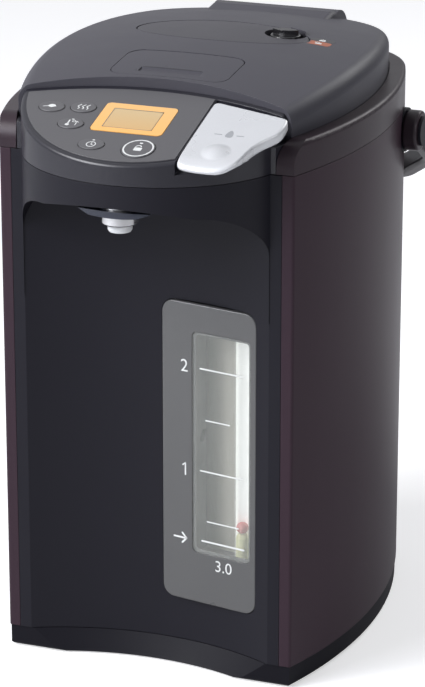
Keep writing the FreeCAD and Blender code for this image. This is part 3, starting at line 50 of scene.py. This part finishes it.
class Wire:
    """An output socket. Arithmetic on it adds Math nodes."""

    def __init__(self, socket):
        self.socket = socket

    def math(self, operation, *values):
        return node(self.socket.id_data, "ShaderNodeMath", {"operation": operation}, values)

    def __add__(self, other):
        return self.math("ADD", self, other)

    def __sub__(self, other):
        return self.math("SUBTRACT", self, other)

    def __rsub__(self, other):
        return self.math("SUBTRACT", other, self)

    def __mul__(self, other):
        return self.math("MULTIPLY", self, other)

    def __truediv__(self, other):
        return self.math("DIVIDE", self, other)

    def __gt__(self, other):
        return self.math("GREATER_THAN", self, other)

    def __abs__(self):
        return self.math("ABSOLUTE", self)

    __radd__ = __add__
    __rmul__ = __mul__


def node(tree, kind, settings, inputs, output=0):
    """Add a node, set it up and join its sockets."""
    made = tree.nodes.new(kind)
    for key, value in settings.items():
        if key == "stops":
            ramp = made.color_ramp.elements
            while len(ramp) < len(value):
                ramp.new(0.5)
            for stop, (place, shade) in zip(ramp, value):
                stop.position = place
                stop.color = shade
        else:
            setattr(made, key, value)
    named = inputs.items() if isinstance(inputs, dict) else enumerate(inputs)
    for key, value in named:
        if isinstance(value, Wire):
            tree.links.new(value.socket, made.inputs[key])
        else:
            made.inputs[key].default_value = value
    return Wire(made.outputs[output])


def blend(tree, share, low, high):
    """Colour between two others."""
    return node(tree, "ShaderNodeMix", {"data_type": "RGBA"}, {0: share, 6: low, 7: high}, 2)


def surrounding(tree, light, mirrored, seen):
    """Three shades: one lights the object, glossy parts mirror one and the camera sees one."""
    outputs = node(tree, "ShaderNodeLightPath", {}, {}).socket.node.outputs
    kinds = ("Is Glossy Ray", "Is Transmission Ray", "Is Camera Ray")
    glossy, through, direct = (Wire(outputs[kind]) for kind in kinds)
    shiny = glossy.math("MAXIMUM", glossy, through)
    return blend(tree, direct, blend(tree, shiny, light, mirrored), seen)


world = bpy.context.scene.world or bpy.data.worlds.new("surrounding")
bpy.context.scene.world = world
world.use_nodes = True
world.node_tree.nodes.clear()
heading = node(world.node_tree, "ShaderNodeTexCoord", {}, {}, "Generated")
upper_left = node(world.node_tree, "ShaderNodeVectorMath", {"operation": "DOT_PRODUCT"},
                  (heading, (-0.53, -0.32, 0.79)), "Value")
mirrored = blend(world.node_tree, upper_left * 0.5 + 0.5,
                 (0.05, 0.05, 0.055, 1), (0.95, 0.96, 1.0, 1))
sky = surrounding(world.node_tree, (0.17, 0.175, 0.195, 1), mirrored, (1, 1, 1, 1))
backing = node(world.node_tree, "ShaderNodeBackground", {}, {"Color": sky, "Strength": 1.0})
out = world.node_tree.nodes.new("ShaderNodeOutputWorld")
world.node_tree.links.new(backing.socket, out.inputs["Surface"])


class Finish:
    """A material. Its node method adds any node, and its set method feeds the shader."""

    def __init__(self, name):
        self.material = bpy.data.materials.new(name)
        self.material.use_nodes = True
        self.tree = self.material.node_tree
        self.shader = self.tree.nodes["Principled BSDF"]
        self.spot = self.node("ShaderNodeTexCoord", {}, {}, "Object")

    def node(self, kind, settings, inputs, output=0):
        return node(self.tree, kind, settings, inputs, output)

    def noise(self, scale, detail=2.0):
        return self.node("ShaderNodeTexNoise", {},
                         {"Vector": self.spot, "Scale": scale, "Detail": detail})

    def mix(self, share, low, high):
        return blend(self.tree, share, low, high)

    def along(self, way, start):
        """Distance in metres along a direction from a starting point."""
        dot = self.node("ShaderNodeVectorMath", {"operation": "DOT_PRODUCT"},
                        (self.spot, way), "Value")
        return dot - Vector(way).dot(Vector(start))

    def set(self, **values):
        for key, value in values.items():
            socket = self.shader.inputs[key.replace("_", " ")]
            if isinstance(value, Wire):
                self.tree.links.new(value.socket, socket)
            else:
                socket.default_value = value
        return self

    def on(self, *names):
        for name in names:
            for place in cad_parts[name].material_slots:
                place.material = self.material
        return self


def shade(colour, share):
    return tuple(min(1.0, c * share) for c in colour[:3]) + (1.0,)


def moulded(name, colour, gloss, grain=2600.0, depth=0.03, edge=0.35 * MM, **more):
    """Moulded or painted surface: fine grain, a little cloudiness in the gloss, softened edges."""
    made = Finish(name)
    fine = made.noise(grain)
    cloud = made.noise(38.0, 3.0)
    soft = made.node("ShaderNodeBevel", {"samples": 4}, {"Radius": edge}, "Normal")
    bump = made.node("ShaderNodeBump", {}, {
        "Strength": 0.5, "Distance": depth * MM, "Height": fine, "Normal": soft}, "Normal")
    tone = made.mix(fine * 0.7 + cloud * 0.3, shade(colour, 0.86), shade(colour, 1.14))
    return made.set(Base_Color=tone, Roughness=cloud * 0.12 + (gloss - 0.06), Normal=bump, **more)


bpy.ops.mesh.primitive_plane_add(size=12.0)
floor = bpy.context.object
floor.name = "floor"
ground = Finish("pale_floor")
veil = surrounding(ground.tree, (0, 0, 0, 1), (0, 0, 0, 1), (0.52, 0.52, 0.52, 1))
ground.set(Base_Color=(0.80, 0.80, 0.81, 1), Roughness=0.7, Emission_Color=veil,
           Emission_Strength=1.0)
floor.data.materials.append(ground.material)


def lamp(name, spot, target, size, power, tint=(1, 1, 1)):
    """Soft square lamp that faces a point."""
    data = bpy.data.lights.new(name, "AREA")
    data.energy, data.size, data.color = power, size, tint
    made = bpy.data.objects.new(name, data)
    bpy.context.scene.collection.objects.link(made)
    made.location = spot
    made.rotation_euler = (Vector(target) - Vector(spot)).to_track_quat("-Z", "Y").to_euler()
    return made


middle = Vector((0.0, 0.0, 0.16))
lamp("high_left", (-1.0, -0.8, 1.3), middle, 0.8, 19.0)
lamp("low_right", (1.4, -0.2, 0.6), middle, 0.5, 3.0)
lamp("behind", (0.5, 1.3, 1.1), middle, 0.8, 6.0)
lamp("front_left", (-1.0, -1.4, 1.1), middle, 0.9, 24.0, (0.92, 0.94, 1.0))

AZIMUTH, ELEVATION = math.radians(20.66), math.radians(18.89)
AIM = Vector((2.16, 0.0, 152.53)) * MM
DISTANCE = 1735.6 * MM
away = Vector((math.sin(AZIMUTH) * math.cos(ELEVATION), -math.cos(AZIMUTH) * math.cos(ELEVATION),
               math.sin(ELEVATION)))
lens = bpy.data.cameras.new("camera")
lens.sensor_fit = "VERTICAL"
lens.sensor_height = 36.0
lens.lens = 168.0
camera = bpy.data.objects.new("camera", lens)
bpy.context.scene.collection.objects.link(camera)
camera.location = AIM + away * DISTANCE
camera.rotation_euler = (-away).to_track_quat("-Z", "Y").to_euler()
bpy.context.scene.camera = camera
bpy.context.scene.view_settings.view_transform = "Standard"


# Side shell: one steel sheet bent round the sides and back, sprayed with brown metallic paint
# under a satin clear coat. Its front edges are folded into raised strips.

BROWN = (0.038, 0.0225, 0.0315)
paint = Finish("brown_metallic_paint")
flake = paint.noise(5200.0, 1.0)
sweep = paint.noise(9.0)
paint.set(
    Base_Color=paint.mix(flake, shade(BROWN, 0.62), shade(BROWN, 1.5)),
    Metallic=0.06, Roughness=sweep * 0.08 + 0.30, Specular_IOR_Level=0.12, Coat_Weight=0.05,
    Coat_Roughness=0.09,
    Normal=paint.node("ShaderNodeBump", {}, {
        "Strength": 0.35, "Distance": 0.01 * MM, "Height": flake,
        "Normal": paint.node("ShaderNodeBevel", {"samples": 4}, {"Radius": 0.5 * MM}, "Normal"),
    }, "Normal"))
paint.on("side_shell")


# Front panel, base band and spout shroud: near-black plastic, spark-eroded to a fine satin grain.

BLACK = (0.0112, 0.0107, 0.0160)
DULL = 0.18  # how weakly dark grained plastic mirrors the room
moulded("black_satin_plastic", BLACK, 0.42, Specular_IOR_Level=DULL).on(
    "front_panel", "handle_pivots")
# The base band is the same black made darker: painted shade on its inward-sloping band.
moulded("band_plastic", shade(BLACK, 0.7), 0.46, Specular_IOR_Level=DULL * 0.6).on("base_band")
# The beak is the same black made lighter: painted light.
moulded("beak_plastic", shade(BLACK, 1.3), 0.30, Specular_IOR_Level=0.5).on("beak_housing")
moulded("shroud_plastic", (0.022, 0.026, 0.042), 0.25, Specular_IOR_Level=0.5).on("nozzle_shroud")


# Shoulder ring and carry handle: plastic coloured through in the shell's brown, a shade cooler.

moulded("brown_plastic", (0.036, 0.024, 0.031), 0.30, Metallic=0.05,
        Specular_IOR_Level=0.2).on("shoulder_ring")
moulded("handle_plastic", (0.032, 0.022, 0.028), 0.30, grain=1500.0, depth=0.05, Metallic=0.05,
        Specular_IOR_Level=0.25).on("carry_handle")


# Control sheet: one grey textured film over the beak's sloping face. Five keys press through it,
# each a shallow oval, and white marks are printed on them.

SLOPE = math.radians(16.2)
sloping = Matrix.Translation((0, -138.3 * MM, 289.0 * MM)) @ Matrix.Rotation(SLOPE, 4, "X")
FILM_GRAIN, FILM_DEPTH = 3200.0, 0.02
moulded("grey_film", (0.108, 0.106, 0.112), 0.42, grain=FILM_GRAIN, depth=FILM_DEPTH,
        Specular_IOR_Level=0.35).on("control_overlay")
KEYS = {"key_power_save": (-49.5, 47.2), "key_reboil": (-33.0, 49.3),
        "key_keep_warm": (-33.5, 33.1), "key_timer": (-15.5, 15.9), "key_unlock": (9.5, 16.1)}
moulded("key_film", (0.114, 0.112, 0.118), 0.32, grain=FILM_GRAIN, depth=FILM_DEPTH,
        Specular_IOR_Level=0.4).on(*KEYS)


def surface_of(*names):
    """Search tree over the faces of CAD nodes, to lay marks on them."""
    points, faces = [], []
    for name in names:
        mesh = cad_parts[name].data
        start = len(points)
        points += [v.co.copy() for v in mesh.vertices]
        faces += [[start + i for i in p.vertices] for p in mesh.polygons]
    return BVHTree.FromPolygons(points, faces)


def line(a, b, half):
    """Round-ended stroke from a to b: its middle points and half widths, in millimetres."""
    a, b = Vector(a), Vector(b)
    way = (b - a).normalized()
    caps = [math.sin(math.radians(t)) for t in (-88, -60, -30)]
    steps = max(2, int((b - a).length / 2))
    spots = [(a + way * half * c, half * math.sqrt(1 - c * c)) for c in caps]
    spots += [(a.lerp(b, i / steps), half) for i in range(steps + 1)]
    spots += [(b - way * half * c, half * math.sqrt(1 - c * c)) for c in reversed(caps)]
    return spots


def arc(centre, radius, start, end, half):
    """Stroke along part of a circle, from one angle in degrees to another."""
    steps = max(6, int(abs(end - start) / 12))
    spots = []
    for i in range(steps + 1):
        turn = math.radians(start + (end - start) * i / steps)
        spots.append((Vector(centre) + radius * Vector((math.cos(turn), math.sin(turn))), half))
    return spots


def patch(low, high, corner):
    """Filled rectangle with rounded corners, as one broad stroke upwards."""
    (x0, y0), (x1, y1) = low, high
    wide, spots = (x1 - x0) / 2, []
    rise = [corner * (1 - math.cos(math.radians(t))) for t in (2, 20, 40, 60, 90)]
    middle_x = (x0 + x1) / 2
    for r in rise:
        spots.append((y0 + r, wide - corner + math.sqrt(max(0.0, corner**2 - (corner - r) ** 2))))
    spots += [(y0 + corner + (y1 - y0 - 2 * corner) * i / 5, wide) for i in range(1, 5)]
    spots += [(y0 + y1 - y, w) for y, w in reversed(spots[:len(rise)])]
    return [(Vector((middle_x, y)), w) for y, w in spots]


RAY_START = 60 * MM  # how far out the rays begin that lay a mark on its surface
STEP_LIMIT = 0.6 * MM  # a mark bridges any sharper drop of the surface under it


def mark(name, strokes, placed, carrier, material, body, lift=0.05 * MM, across=2,
         proud=0.1 * MM):
    """Printed or raised mark: strokes laid on a CAD surface, with a little thickness."""
    mesh, shaped = bpy.data.meshes.new(name), bmesh.new()
    outward, depth = placed.to_3x3() @ Vector((0, 0, 1)), 0.0
    for stroke in strokes:
        heart = stroke[len(stroke) // 2][0] * MM
        above = placed @ Vector((heart.x, heart.y, RAY_START))
        depth = carrier.ray_cast(above, -outward)[3] or depth
        rows = []
        for i, (spot, half) in enumerate(stroke):
            before, after = stroke[max(i - 1, 0)][0], stroke[min(i + 1, len(stroke) - 1)][0]
            way = (after - before).normalized()
            side, row = Vector((way.y, -way.x)), []
            for k in range(across + 1):
                flat = (spot + side * half * (2 * k / across - 1)) * MM
                start = placed @ Vector((flat.x, flat.y, RAY_START))
                hit, _, _, fall = carrier.ray_cast(start, -outward)
                if hit is None or (depth and fall > depth + STEP_LIMIT):
                    hit = start - outward * depth
                depth = (start - hit).length
                row.append(shaped.verts.new(hit + outward * lift))
            rows.append(row)
        for low, high in zip(rows, rows[1:]):
            for k in range(across):
                shaped.faces.new((low[k], low[k + 1], high[k + 1], high[k]))
    bmesh.ops.remove_doubles(shaped, verts=shaped.verts, dist=0.002 * MM)
    bmesh.ops.recalc_face_normals(shaped, faces=shaped.faces)
    if sum(f.normal.dot(outward) for f in shaped.faces) < 0:
        bmesh.ops.reverse_faces(shaped, faces=shaped.faces)
    shaped.to_mesh(mesh)
    shaped.free()
    made = bpy.data.objects.new(name, mesh)
    bpy.context.scene.collection.objects.link(made)
    made.data.materials.append(material.material)
    body_of_ink = made.modifiers.new("thickness", "SOLIDIFY")
    body_of_ink.thickness, body_of_ink.offset = proud, -1.0
    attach(made, body)
    return made


def at(spot, strokes):
    """Strokes moved to a spot."""
    return [[(Vector(spot) + point, half) for point, half in stroke] for stroke in strokes]


blade = [(Vector((-2.4 + 4.8 * i / 12, 0.5 * math.sin(i / 4))),
          0.02 + 1.5 * math.sin(math.pi * i / 12)) for i in range(13)]
leaf = [blade, line((-4.4, -0.8), (-2.2, -0.1), 0.22)]
steam = [[(Vector((x + 0.55 * math.sin(i * 0.75), -2.2 + 0.42 * i)), 0.3) for i in range(12)]
         for x in (-2.4, 0, 2.4)]
warm = [line((-1.4, -0.6), (-1.4, 2.6), 0.42), patch((-2.5, -2.6), (-0.3, -0.5), 1.0),
        arc((1.2, 2.0), 0.8, 0, 360, 0.22), line((2.8, -1.6), (2.8, 2.2), 0.22),
        line((1.9, 1.2), (2.8, 2.2), 0.22), line((3.7, 1.2), (2.8, 2.2), 0.22)]
clock = [arc((0, -0.4), 2.3, 0, 360, 0.26), line((0, -0.4), (0, 1.0), 0.24),
         line((0, -0.4), (1.0, -1.0), 0.24)]
padlock = [patch((-2.1, -2.4), (2.1, 0.6), 0.5), arc((-0.2, 0.9), 1.5, 20, 180, 0.32),
           line((-1.7, 0.4), (-1.7, 1.0), 0.32)]
ring = [arc((0, 0), 7.5, 0, 360, 0.42)]
light = [patch((-0.9, 4.1), (0.9, 5.3), 0.55)]
small_light = [patch((-0.7, 3.2), (0.7, 4.1), 0.42)]
white_ink = moulded("white_ink", (0.80, 0.81, 0.80), 0.45, depth=0.005)
key_tops = surface_of("control_overlay", *KEYS)
for key, strokes in (("key_power_save", leaf), ("key_reboil", steam),
                     ("key_keep_warm", warm + small_light), ("key_timer", clock + small_light),
                     ("key_unlock", padlock + ring + light)):
    mark(key + "_mark", at(KEYS[key], strokes), sloping, key_tops, white_ink, key,
         proud=0.07 * MM)


# Display: amber liquid crystal behind a clear window that is printed amber round the cell, with
# painted shade and a painted glow in its colours.

SHOW_X, SHOW_UP = -3.0, 43.0
glow = Finish("amber_display")
across_way = sloping.to_3x3() @ Vector((1, 0, 0))
up_way = sloping.to_3x3() @ Vector((0, 1, 0))
origin = sloping @ (Vector((SHOW_X, SHOW_UP, 0)) * MM)
off_x, off_up = glow.along(tuple(across_way), origin), glow.along(tuple(up_way), origin)
CELL_WIDE, CELL_LONG, CELL_SHIFT = 13.2, 9.0, 0.5  # half sizes of the cell, and its offset
past_side = abs(off_x + CELL_SHIFT * MM) > CELL_WIDE * MM
past_end = abs(off_up + CELL_SHIFT * MM) > CELL_LONG * MM
outside = past_side.math("MAXIMUM", past_side, past_end)
spread = glow.noise(90.0)
# The cell is paler towards its top. The printed frame changes tone from its upper edge down,
# painted shade of the sunken cell.
cell = glow.mix(off_up * 40.0 + 0.5, (0.60, 0.36, 0.13, 1), (0.56, 0.42, 0.22, 1))
edge = glow.mix(spread * 0.5 + (0.3 - off_up * 18.0), (0.78, 0.46, 0.16, 1), (0.88, 0.44, 0.10, 1))
colour_and_painted_glow = glow.mix(outside, cell, edge)
# The window glows weakly in its own colours: a painted glow.
glow.set(Base_Color=colour_and_painted_glow, Emission_Color=colour_and_painted_glow, Emission_Strength=0.16, Roughness=0.12,
         Coat_Weight=0.6, Coat_Roughness=0.04)
glow.on("lcd_window")
pane = surface_of("lcd_window")
# The cell's outline is drawn thicker along its top and left: painted shadow of the sunken cell.
outline_and_shadow_ink = moulded("cell_outline_and_shadow", (0.30, 0.24, 0.16), 0.4, depth=0.005)
corners = [(side * CELL_WIDE, end * CELL_LONG)
           for side, end in ((-1, -1), (1, -1), (1, 1), (-1, 1))]
cell_outline_and_shadow = [line(corners[0], corners[1], 0.16), line(corners[3], corners[2], 0.3),
             line(corners[0], corners[3], 0.26), line(corners[1], corners[2], 0.16)]
mark("display_outline_and_shadow", at((SHOW_X - CELL_SHIFT, SHOW_UP - CELL_SHIFT), cell_outline_and_shadow), sloping, pane,
     outline_and_shadow_ink, "casing", lift=0.02 * MM, proud=0.05 * MM)


# Dispensing lever: silver-white plated plastic with a domed thumb rest and a raised drop mark.

silver = moulded("silver_plating", (0.70, 0.71, 0.73), 0.28, depth=0.008, edge=0.15 * MM,
                 Metallic=0.3, Coat_Weight=0.3, Coat_Roughness=0.1)
EDGE = [  # across and up the control sheet, in millimetres, round from the left flank
    (33.3, 40.0), (33.3, 30.0), (33.4, 20.0), (33.6, 12.0), (33.8, 8.2), (34.0, 5.8),
    (34.6, 4.2), (35.9, 3.4), (38.2, 2.9), (42.0, 2.5), (47.0, 2.2), (53.5, 2.4),
    (58.6, 3.8), (62.2, 7.0), (64.0, 11.4), (65.0, 17.0), (66.6, 24.0), (69.6, 30.6),
    (73.0, 35.6), (75.2, 39.6), (75.9, 44.0), (75.8, 48.6), (75.5, 51.4), (74.9, 52.9),
    (73.6, 53.9), (71.4, 54.5), (66.0, 55.8), (58.0, 57.7), (50.0, 59.6), (42.0, 61.4),
    (37.6, 62.5), (35.4, 62.9), (34.0, 62.5), (33.4, 61.2), (33.3, 59.0), (33.3, 55.0),
    (33.3, 48.0)]
THUMB, THUMB_RADIUS, THUMB_RISE = Vector((50.4, 16.6)), 7.6, 1.8
LEVER_TOP, DROOP, DROOP_START, DROOP_LONG = 3.0, 2.2, 11.5, 9.0
RIM, RIM_DROP, MEAN_REACH = 0.06, 0.8, 30.0  # rounded share of the top, its drop, middle to edge
UNDERSIDE = 5.4


def lever_height(spot):
    """Height of the lever's top: flat, bent down at its nose and domed for the thumb."""
    fall = min(1.0, max(0.0, (DROOP_START - spot.y) / DROOP_LONG))
    dome = THUMB_RISE * max(0.0, 1.0 - ((spot - THUMB).length / THUMB_RADIUS) ** 2) ** 1.25
    return LEVER_TOP - DROOP * fall**2.2 + dome


def skirt_of(spot):
    """Depth of the lever's side wall: shallow at the nose, deeper along the flank."""
    return 1.6 + 3.0 * min(1.0, max(0.0, (spot.y - 6.0) / 14.0))


def smooth_loop(corners, steps):
    """Closed curve through the corners."""
    spots, count = [], len(corners)
    for i in range(count):
        a, b, c, d = (Vector(corners[(i + k) % count]) for k in (-1, 0, 1, 2))
        for k in range(steps):
            s = k / steps
            spots.append(0.5 * ((2 * b) + (c - a) * s + (2 * a - 5 * b + 4 * c - d) * s**2
                                + (3 * b - a - 3 * c + d) * s**3))
    return spots


def evenly(loop, count):
    """Points at equal distances along a closed line."""
    sums = [0.0]
    for a, b in zip(loop, loop[1:] + loop[:1]):
        sums.append(sums[-1] + (b - a).length)
    spots, k = [], 0
    for i in range(count):
        goal = sums[-1] * i / count
        while sums[k + 1] < goal:
            k += 1
        share = (goal - sums[k]) / (sums[k + 1] - sums[k])
        spots.append(loop[k].lerp(loop[(k + 1) % len(loop)], share))
    return spots


lever_mesh, shaped = bpy.data.meshes.new("lever_cover"), bmesh.new()
border = evenly(smooth_loop(EDGE, 10), 170)
centre = Vector((52.0, 32.0))
rows = []
for share in [0.12 + 0.82 * i / 44 for i in range(45)] + [0.955, 0.97, 0.982, 0.992, 1.0]:
    round_off = RIM_DROP * (max(0.0, share - (1 - RIM)) / RIM) ** 2.4
    inner_line = [centre.lerp(spot, share) for spot in border]
    rows.append([(spot, lever_height(spot) - round_off) for spot in inner_line])
for share, inset in ((0.3, 0.0), (0.85, 0.1), (1.0, 0.5), (1.0, 2.2)):
    rows.append([(centre.lerp(spot, 1 - inset / MEAN_REACH),
                  lever_height(spot) - RIM_DROP - share * skirt_of(spot)) for spot in border])
loops = [[shaped.verts.new(sloping @ (Vector((spot.x, spot.y, up)) * MM)) for spot, up in row]
         for row in rows]
count = len(border)
shaped.faces.new(loops[0])
under = shaped.verts.new(sloping @ (Vector((centre.x, centre.y, LEVER_TOP - UNDERSIDE)) * MM))
for k in range(count):
    n = (k + 1) % count
    for inner, outer in zip(loops, loops[1:]):
        shaped.faces.new((inner[k], outer[k], outer[n], inner[n]))
    shaped.faces.new((loops[-1][k], under, loops[-1][n]))
bmesh.ops.recalc_face_normals(shaped, faces=shaped.faces)
for face in shaped.faces:
    face.smooth = True
shaped.to_mesh(lever_mesh)
shaped.free()
lever = bpy.data.objects.new("lever_cover", lever_mesh)
bpy.context.scene.collection.objects.link(lever)
lever.data.materials.append(silver.material)
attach(lever, "lever")
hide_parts("dispense_lever")
lever_top = BVHTree.FromPolygons([v.co.copy() for v in lever_mesh.vertices],
                                 [list(p.vertices) for p in lever_mesh.polygons])
drop = [(Vector((0, -2.8 + 0.36 * i)),
         0.02 + 1.9 * math.sqrt(max(0, math.sin(math.pi * (i / 18) ** 0.58)))) for i in range(19)]
dashes = [line((-7.5, -0.6), (-4, -0.6), 0.34), line((4, -0.6), (7.5, -0.6), 0.34)]
raised = moulded("raised_mark", (0.36, 0.37, 0.39), 0.35, depth=0.005)
mark("lever_mark", at((51.5, 33.5), [drop] + dashes), sloping, lever_top, raised, "lever",
     proud=0.15 * MM)


# Spout: a plated nozzle under the beak with a pale tip.

moulded("nozzle_metal", (0.62, 0.62, 0.63), 0.2, depth=0.004, Metallic=0.85).on("outlet_nozzle")
moulded("tip_plastic", (0.72, 0.73, 0.74), 0.3, depth=0.005).on("nozzle_tip")


# Level gauge: a glossy grey plate with a clear window. Behind it stand a grey reflector and the
# glass tube, white down its back, in which a red ball floats. Lines and numbers are printed white.

GAUGE_TURN = math.radians(-11.0)
upright = (Matrix.Translation((1.0 * MM, -76.0 * MM, 0)) @ Matrix.Rotation(GAUGE_TURN, 4, "Z")
           @ Matrix.Rotation(math.radians(90), 4, "X"))
facing = upright.to_3x3() @ Vector((0, 0, 1))
moulded("gauge_plate", (0.088, 0.088, 0.089), 0.3, depth=0.012, Coat_Weight=0.3,
        Coat_Roughness=0.12).on("gauge_frame")
moulded("clear_window", (0.62, 0.64, 0.60), 0.1, depth=0.002, Alpha=0.16, Coat_Weight=0.5,
        Coat_Roughness=0.05).on("gauge_window")
backing_plate = Finish("gauge_reflector")
from_left = backing_plate.along(tuple(upright.to_3x3() @ Vector((1, 0, 0))), upright.translation)
# The reflector's colour runs across the window: darker at both sides as painted shade from the
# window's frame, with two paler bands between as painted light.
stripe = backing_plate.node("ShaderNodeValToRGB", {"stops": [
    (0.0, (0.13, 0.13, 0.115, 1)), (0.35, (0.38, 0.365, 0.31, 1)), (0.62, (0.28, 0.27, 0.23, 1)),
    (0.8, (0.42, 0.40, 0.35, 1)), (1.0, (0.2, 0.19, 0.17, 1))]},
    {"Fac": (from_left - 20.5 * MM) / (35.0 * MM)}, "Color")
backing_plate.set(Base_Color=stripe, Roughness=backing_plate.noise(60.0) * 0.1 + 0.32)
backing_plate.on("gauge_reflector")
glass = Finish("level_glass")
deep = glass.along(tuple(facing), upright @ (Vector((45.0, 0, -10.0)) * MM))
clear_front = deep > -0.6 * MM
# The tube also glows faintly white: a painted glow.
glass.set(Base_Color=glass.mix(glass.noise(40.0), (0.90, 0.92, 0.90, 1), (0.96, 0.97, 0.95, 1)),
          Alpha=1.0 - clear_front * 0.90, Roughness=0.06, Coat_Weight=0.4, Coat_Roughness=0.03,
          Emission_Color=(0.9, 0.92, 0.9, 1), Emission_Strength=0.3)
glass.on("gauge_tube")
moulded("red_float", (0.62, 0.045, 0.035), 0.25, depth=0.004, Coat_Weight=0.4).on("float_ball")
moulded("pale_rest", (0.66, 0.66, 0.30), 0.4).on("float_rest")
moulded("seal_rubber", (0.03, 0.03, 0.03), 0.6).on("tube_seals")
plate = surface_of("gauge_frame", "gauge_window")
levels = [line((25.4, 167.6), (50.3, 167.6), 0.42), line((28.8, 139.7), (43, 139.7), 0.36),
          line((25.5, 111.3), (50.5, 111.3), 0.42), line((29.6, 83.5), (48.5, 83.5), 0.36),
          line((26.4, 72.1), (51.8, 72.1), 0.5)]
mark("level_lines", levels, upright, plate, white_ink, "casing")
refill = [line((9.2, 71.5), (16.8, 71.5), 0.5), line((14.2, 74.2), (16.8, 71.5), 0.5),
          line((14.2, 68.8), (16.8, 71.5), 0.5)]
mark("refill_arrow", refill, upright, plate, white_ink, "casing")


def number(name, words, spot, tall):
    """Printed number on the gauge plate."""
    data = bpy.data.curves.new(name, "FONT")
    data.body = words
    data.size = tall * MM * 1.38
    data.extrude = 0.04 * MM
    data.align_x, data.align_y = "CENTER", "CENTER"
    hit = plate.ray_cast(upright @ (Vector((spot[0], spot[1], 60)) * MM), -facing)[0]
    made = bpy.data.objects.new(name, data)
    bpy.context.scene.collection.objects.link(made)
    made.matrix_world = Matrix.Translation(hit + facing * 0.03 * MM) @ upright.to_3x3().to_4x4()
    data.materials.append(white_ink.material)
    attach(made, "casing")


number("number_two", "2", (15.7, 167.3), 7.0)
one = [line((16.2, 107.4), (16.2, 113.8), 0.42), line((14.6, 112.6), (16.2, 113.9), 0.36)]
mark("number_one", one, upright, plate, white_ink, "casing")
number("capacity", "3.0", (39.4, 59.2), 6.4)


# Lid: dark satin plastic shell, with the pressing plate, the lock knob and the latch let into it.

charcoal = moulded("lid_plastic", (0.068, 0.066, 0.079), 0.40, Specular_IOR_Level=0.2)
charcoal.on("lid_cover")
moulded("latch_plastic", (0.069, 0.067, 0.080), 0.40, Specular_IOR_Level=0.2).on("latch_lever")
moulded("press_plastic", (0.068, 0.066, 0.076), 0.40, Specular_IOR_Level=0.2).on("push_plate")
moulded("knob_plastic", (0.012, 0.0115, 0.0135), 0.22, depth=0.01).on("lock_knob")
level = Matrix.Translation((0, 0, 0.30))
lid_top = surface_of("lid_cover", "latch_lever")
groove = moulded("groove_shadow", (0.016, 0.016, 0.018), 0.5)
mark("latch_groove", [line((-16, -51.5), (16, -51.5), 0.24)], level, lid_top, groove, "latch",
     lift=0.03 * MM, proud=0.06 * MM)
mark("latch_groove_edge", [line((-15.6, -51.95), (15.6, -51.95), 0.1)], level, lid_top, charcoal,
     "latch")
SIGN = (54.2, 23.4)
dark_half = moulded("sign_dark", (0.030, 0.029, 0.033), 0.35, depth=0.006)
orange_half = moulded("sign_orange", (0.45, 0.115, 0.045), 0.35, depth=0.006)
SIGN_HALF, SIGN_UP, SIGN_CORNER = 6.6, 6.8, 2.2
upper_half = patch((-SIGN_HALF, 0.0), (SIGN_HALF, SIGN_UP), SIGN_CORNER)
lower_half = patch((-SIGN_HALF, -SIGN_UP), (SIGN_HALF, 0.2), SIGN_CORNER)
mark("lock_sign", at(SIGN, [upper_half]), level, lid_top, dark_half, "lid",
     across=8, lift=0.04 * MM)
mark("unlock_sign", at(SIGN, [lower_half]), level, lid_top, orange_half, "lid",
     across=8, lift=0.05 * MM)
case = patch((-1.7, -1.8), (1.7, 0.5), 0.4)
closed = [case, arc((0, 0.5), 1.1, 0, 180, 0.3)]
opened = [case, arc((-1.1, 0.8), 1.1, 20, 190, 0.3)]
MARK_UP = 3.3
mark("closed_mark", at((SIGN[0], SIGN[1] + MARK_UP), closed), level, lid_top, white_ink, "lid",
     lift=0.1 * MM)
mark("open_mark", at((SIGN[0], SIGN[1] - MARK_UP), opened), level, lid_top, white_ink, "lid",
     lift=0.11 * MM)


# Inside the lid and the water vessel: polished stainless steel, a silicone ring and white plastic.

steel = Finish("stainless_steel")
turned = steel.node("ShaderNodeMapping", {}, {"Vector": steel.spot, "Scale": (60.0, 60.0, 2400.0)})
streak = steel.node("ShaderNodeTexNoise", {}, {"Vector": turned, "Scale": 1.0, "Detail": 2.0})
brushed = steel.node("ShaderNodeBump", {}, {
    "Strength": 0.15, "Distance": 0.01 * MM, "Height": streak}, "Normal")
steel.set(Base_Color=steel.mix(streak, (0.54, 0.54, 0.55, 1), (0.66, 0.66, 0.67, 1)), Metallic=1.0,
          Roughness=streak * 0.12 + 0.16, Normal=brushed)
steel.on("inner_vessel", "vacuum_jacket", "lid_inner_plate", "lever_pin", "latch_pin", "hinge_pin",
         "base_screws", "plate_heater")
moulded("white_moulding", (0.70, 0.70, 0.68), 0.38).on("lid_base", "air_chamber")
moulded("silicone", (0.34, 0.34, 0.33), 0.55, depth=0.015).on(
    "lid_gasket", "outlet_pipe", "delivery_pipe", "suction_pipe")
moulded("foam", (0.62, 0.61, 0.56), 0.85, grain=700.0, depth=0.2).on("lid_insulation")


# Back and underside: grey and black mouldings, rubber feet and the plug inlet.

moulded("grey_moulding", (0.20, 0.20, 0.205), 0.45).on(
    "lcd_module", "key_switches", "lever_switch", "pump_motor", "pump_housing", "pump_impeller",
    "latch_hook", "temperature_sensor")
moulded("dark_moulding", (0.030, 0.029, 0.032), 0.45, grain=1400.0, depth=0.06).on(
    "base_cover", "power_inlet", "hinge_bracket")
moulded("foot_rubber", (0.022, 0.022, 0.022), 0.75, grain=1200.0, depth=0.08).on("rubber_feet")
moulded("circuit_board", (0.02, 0.10, 0.045), 0.4).on("control_board", "power_board")
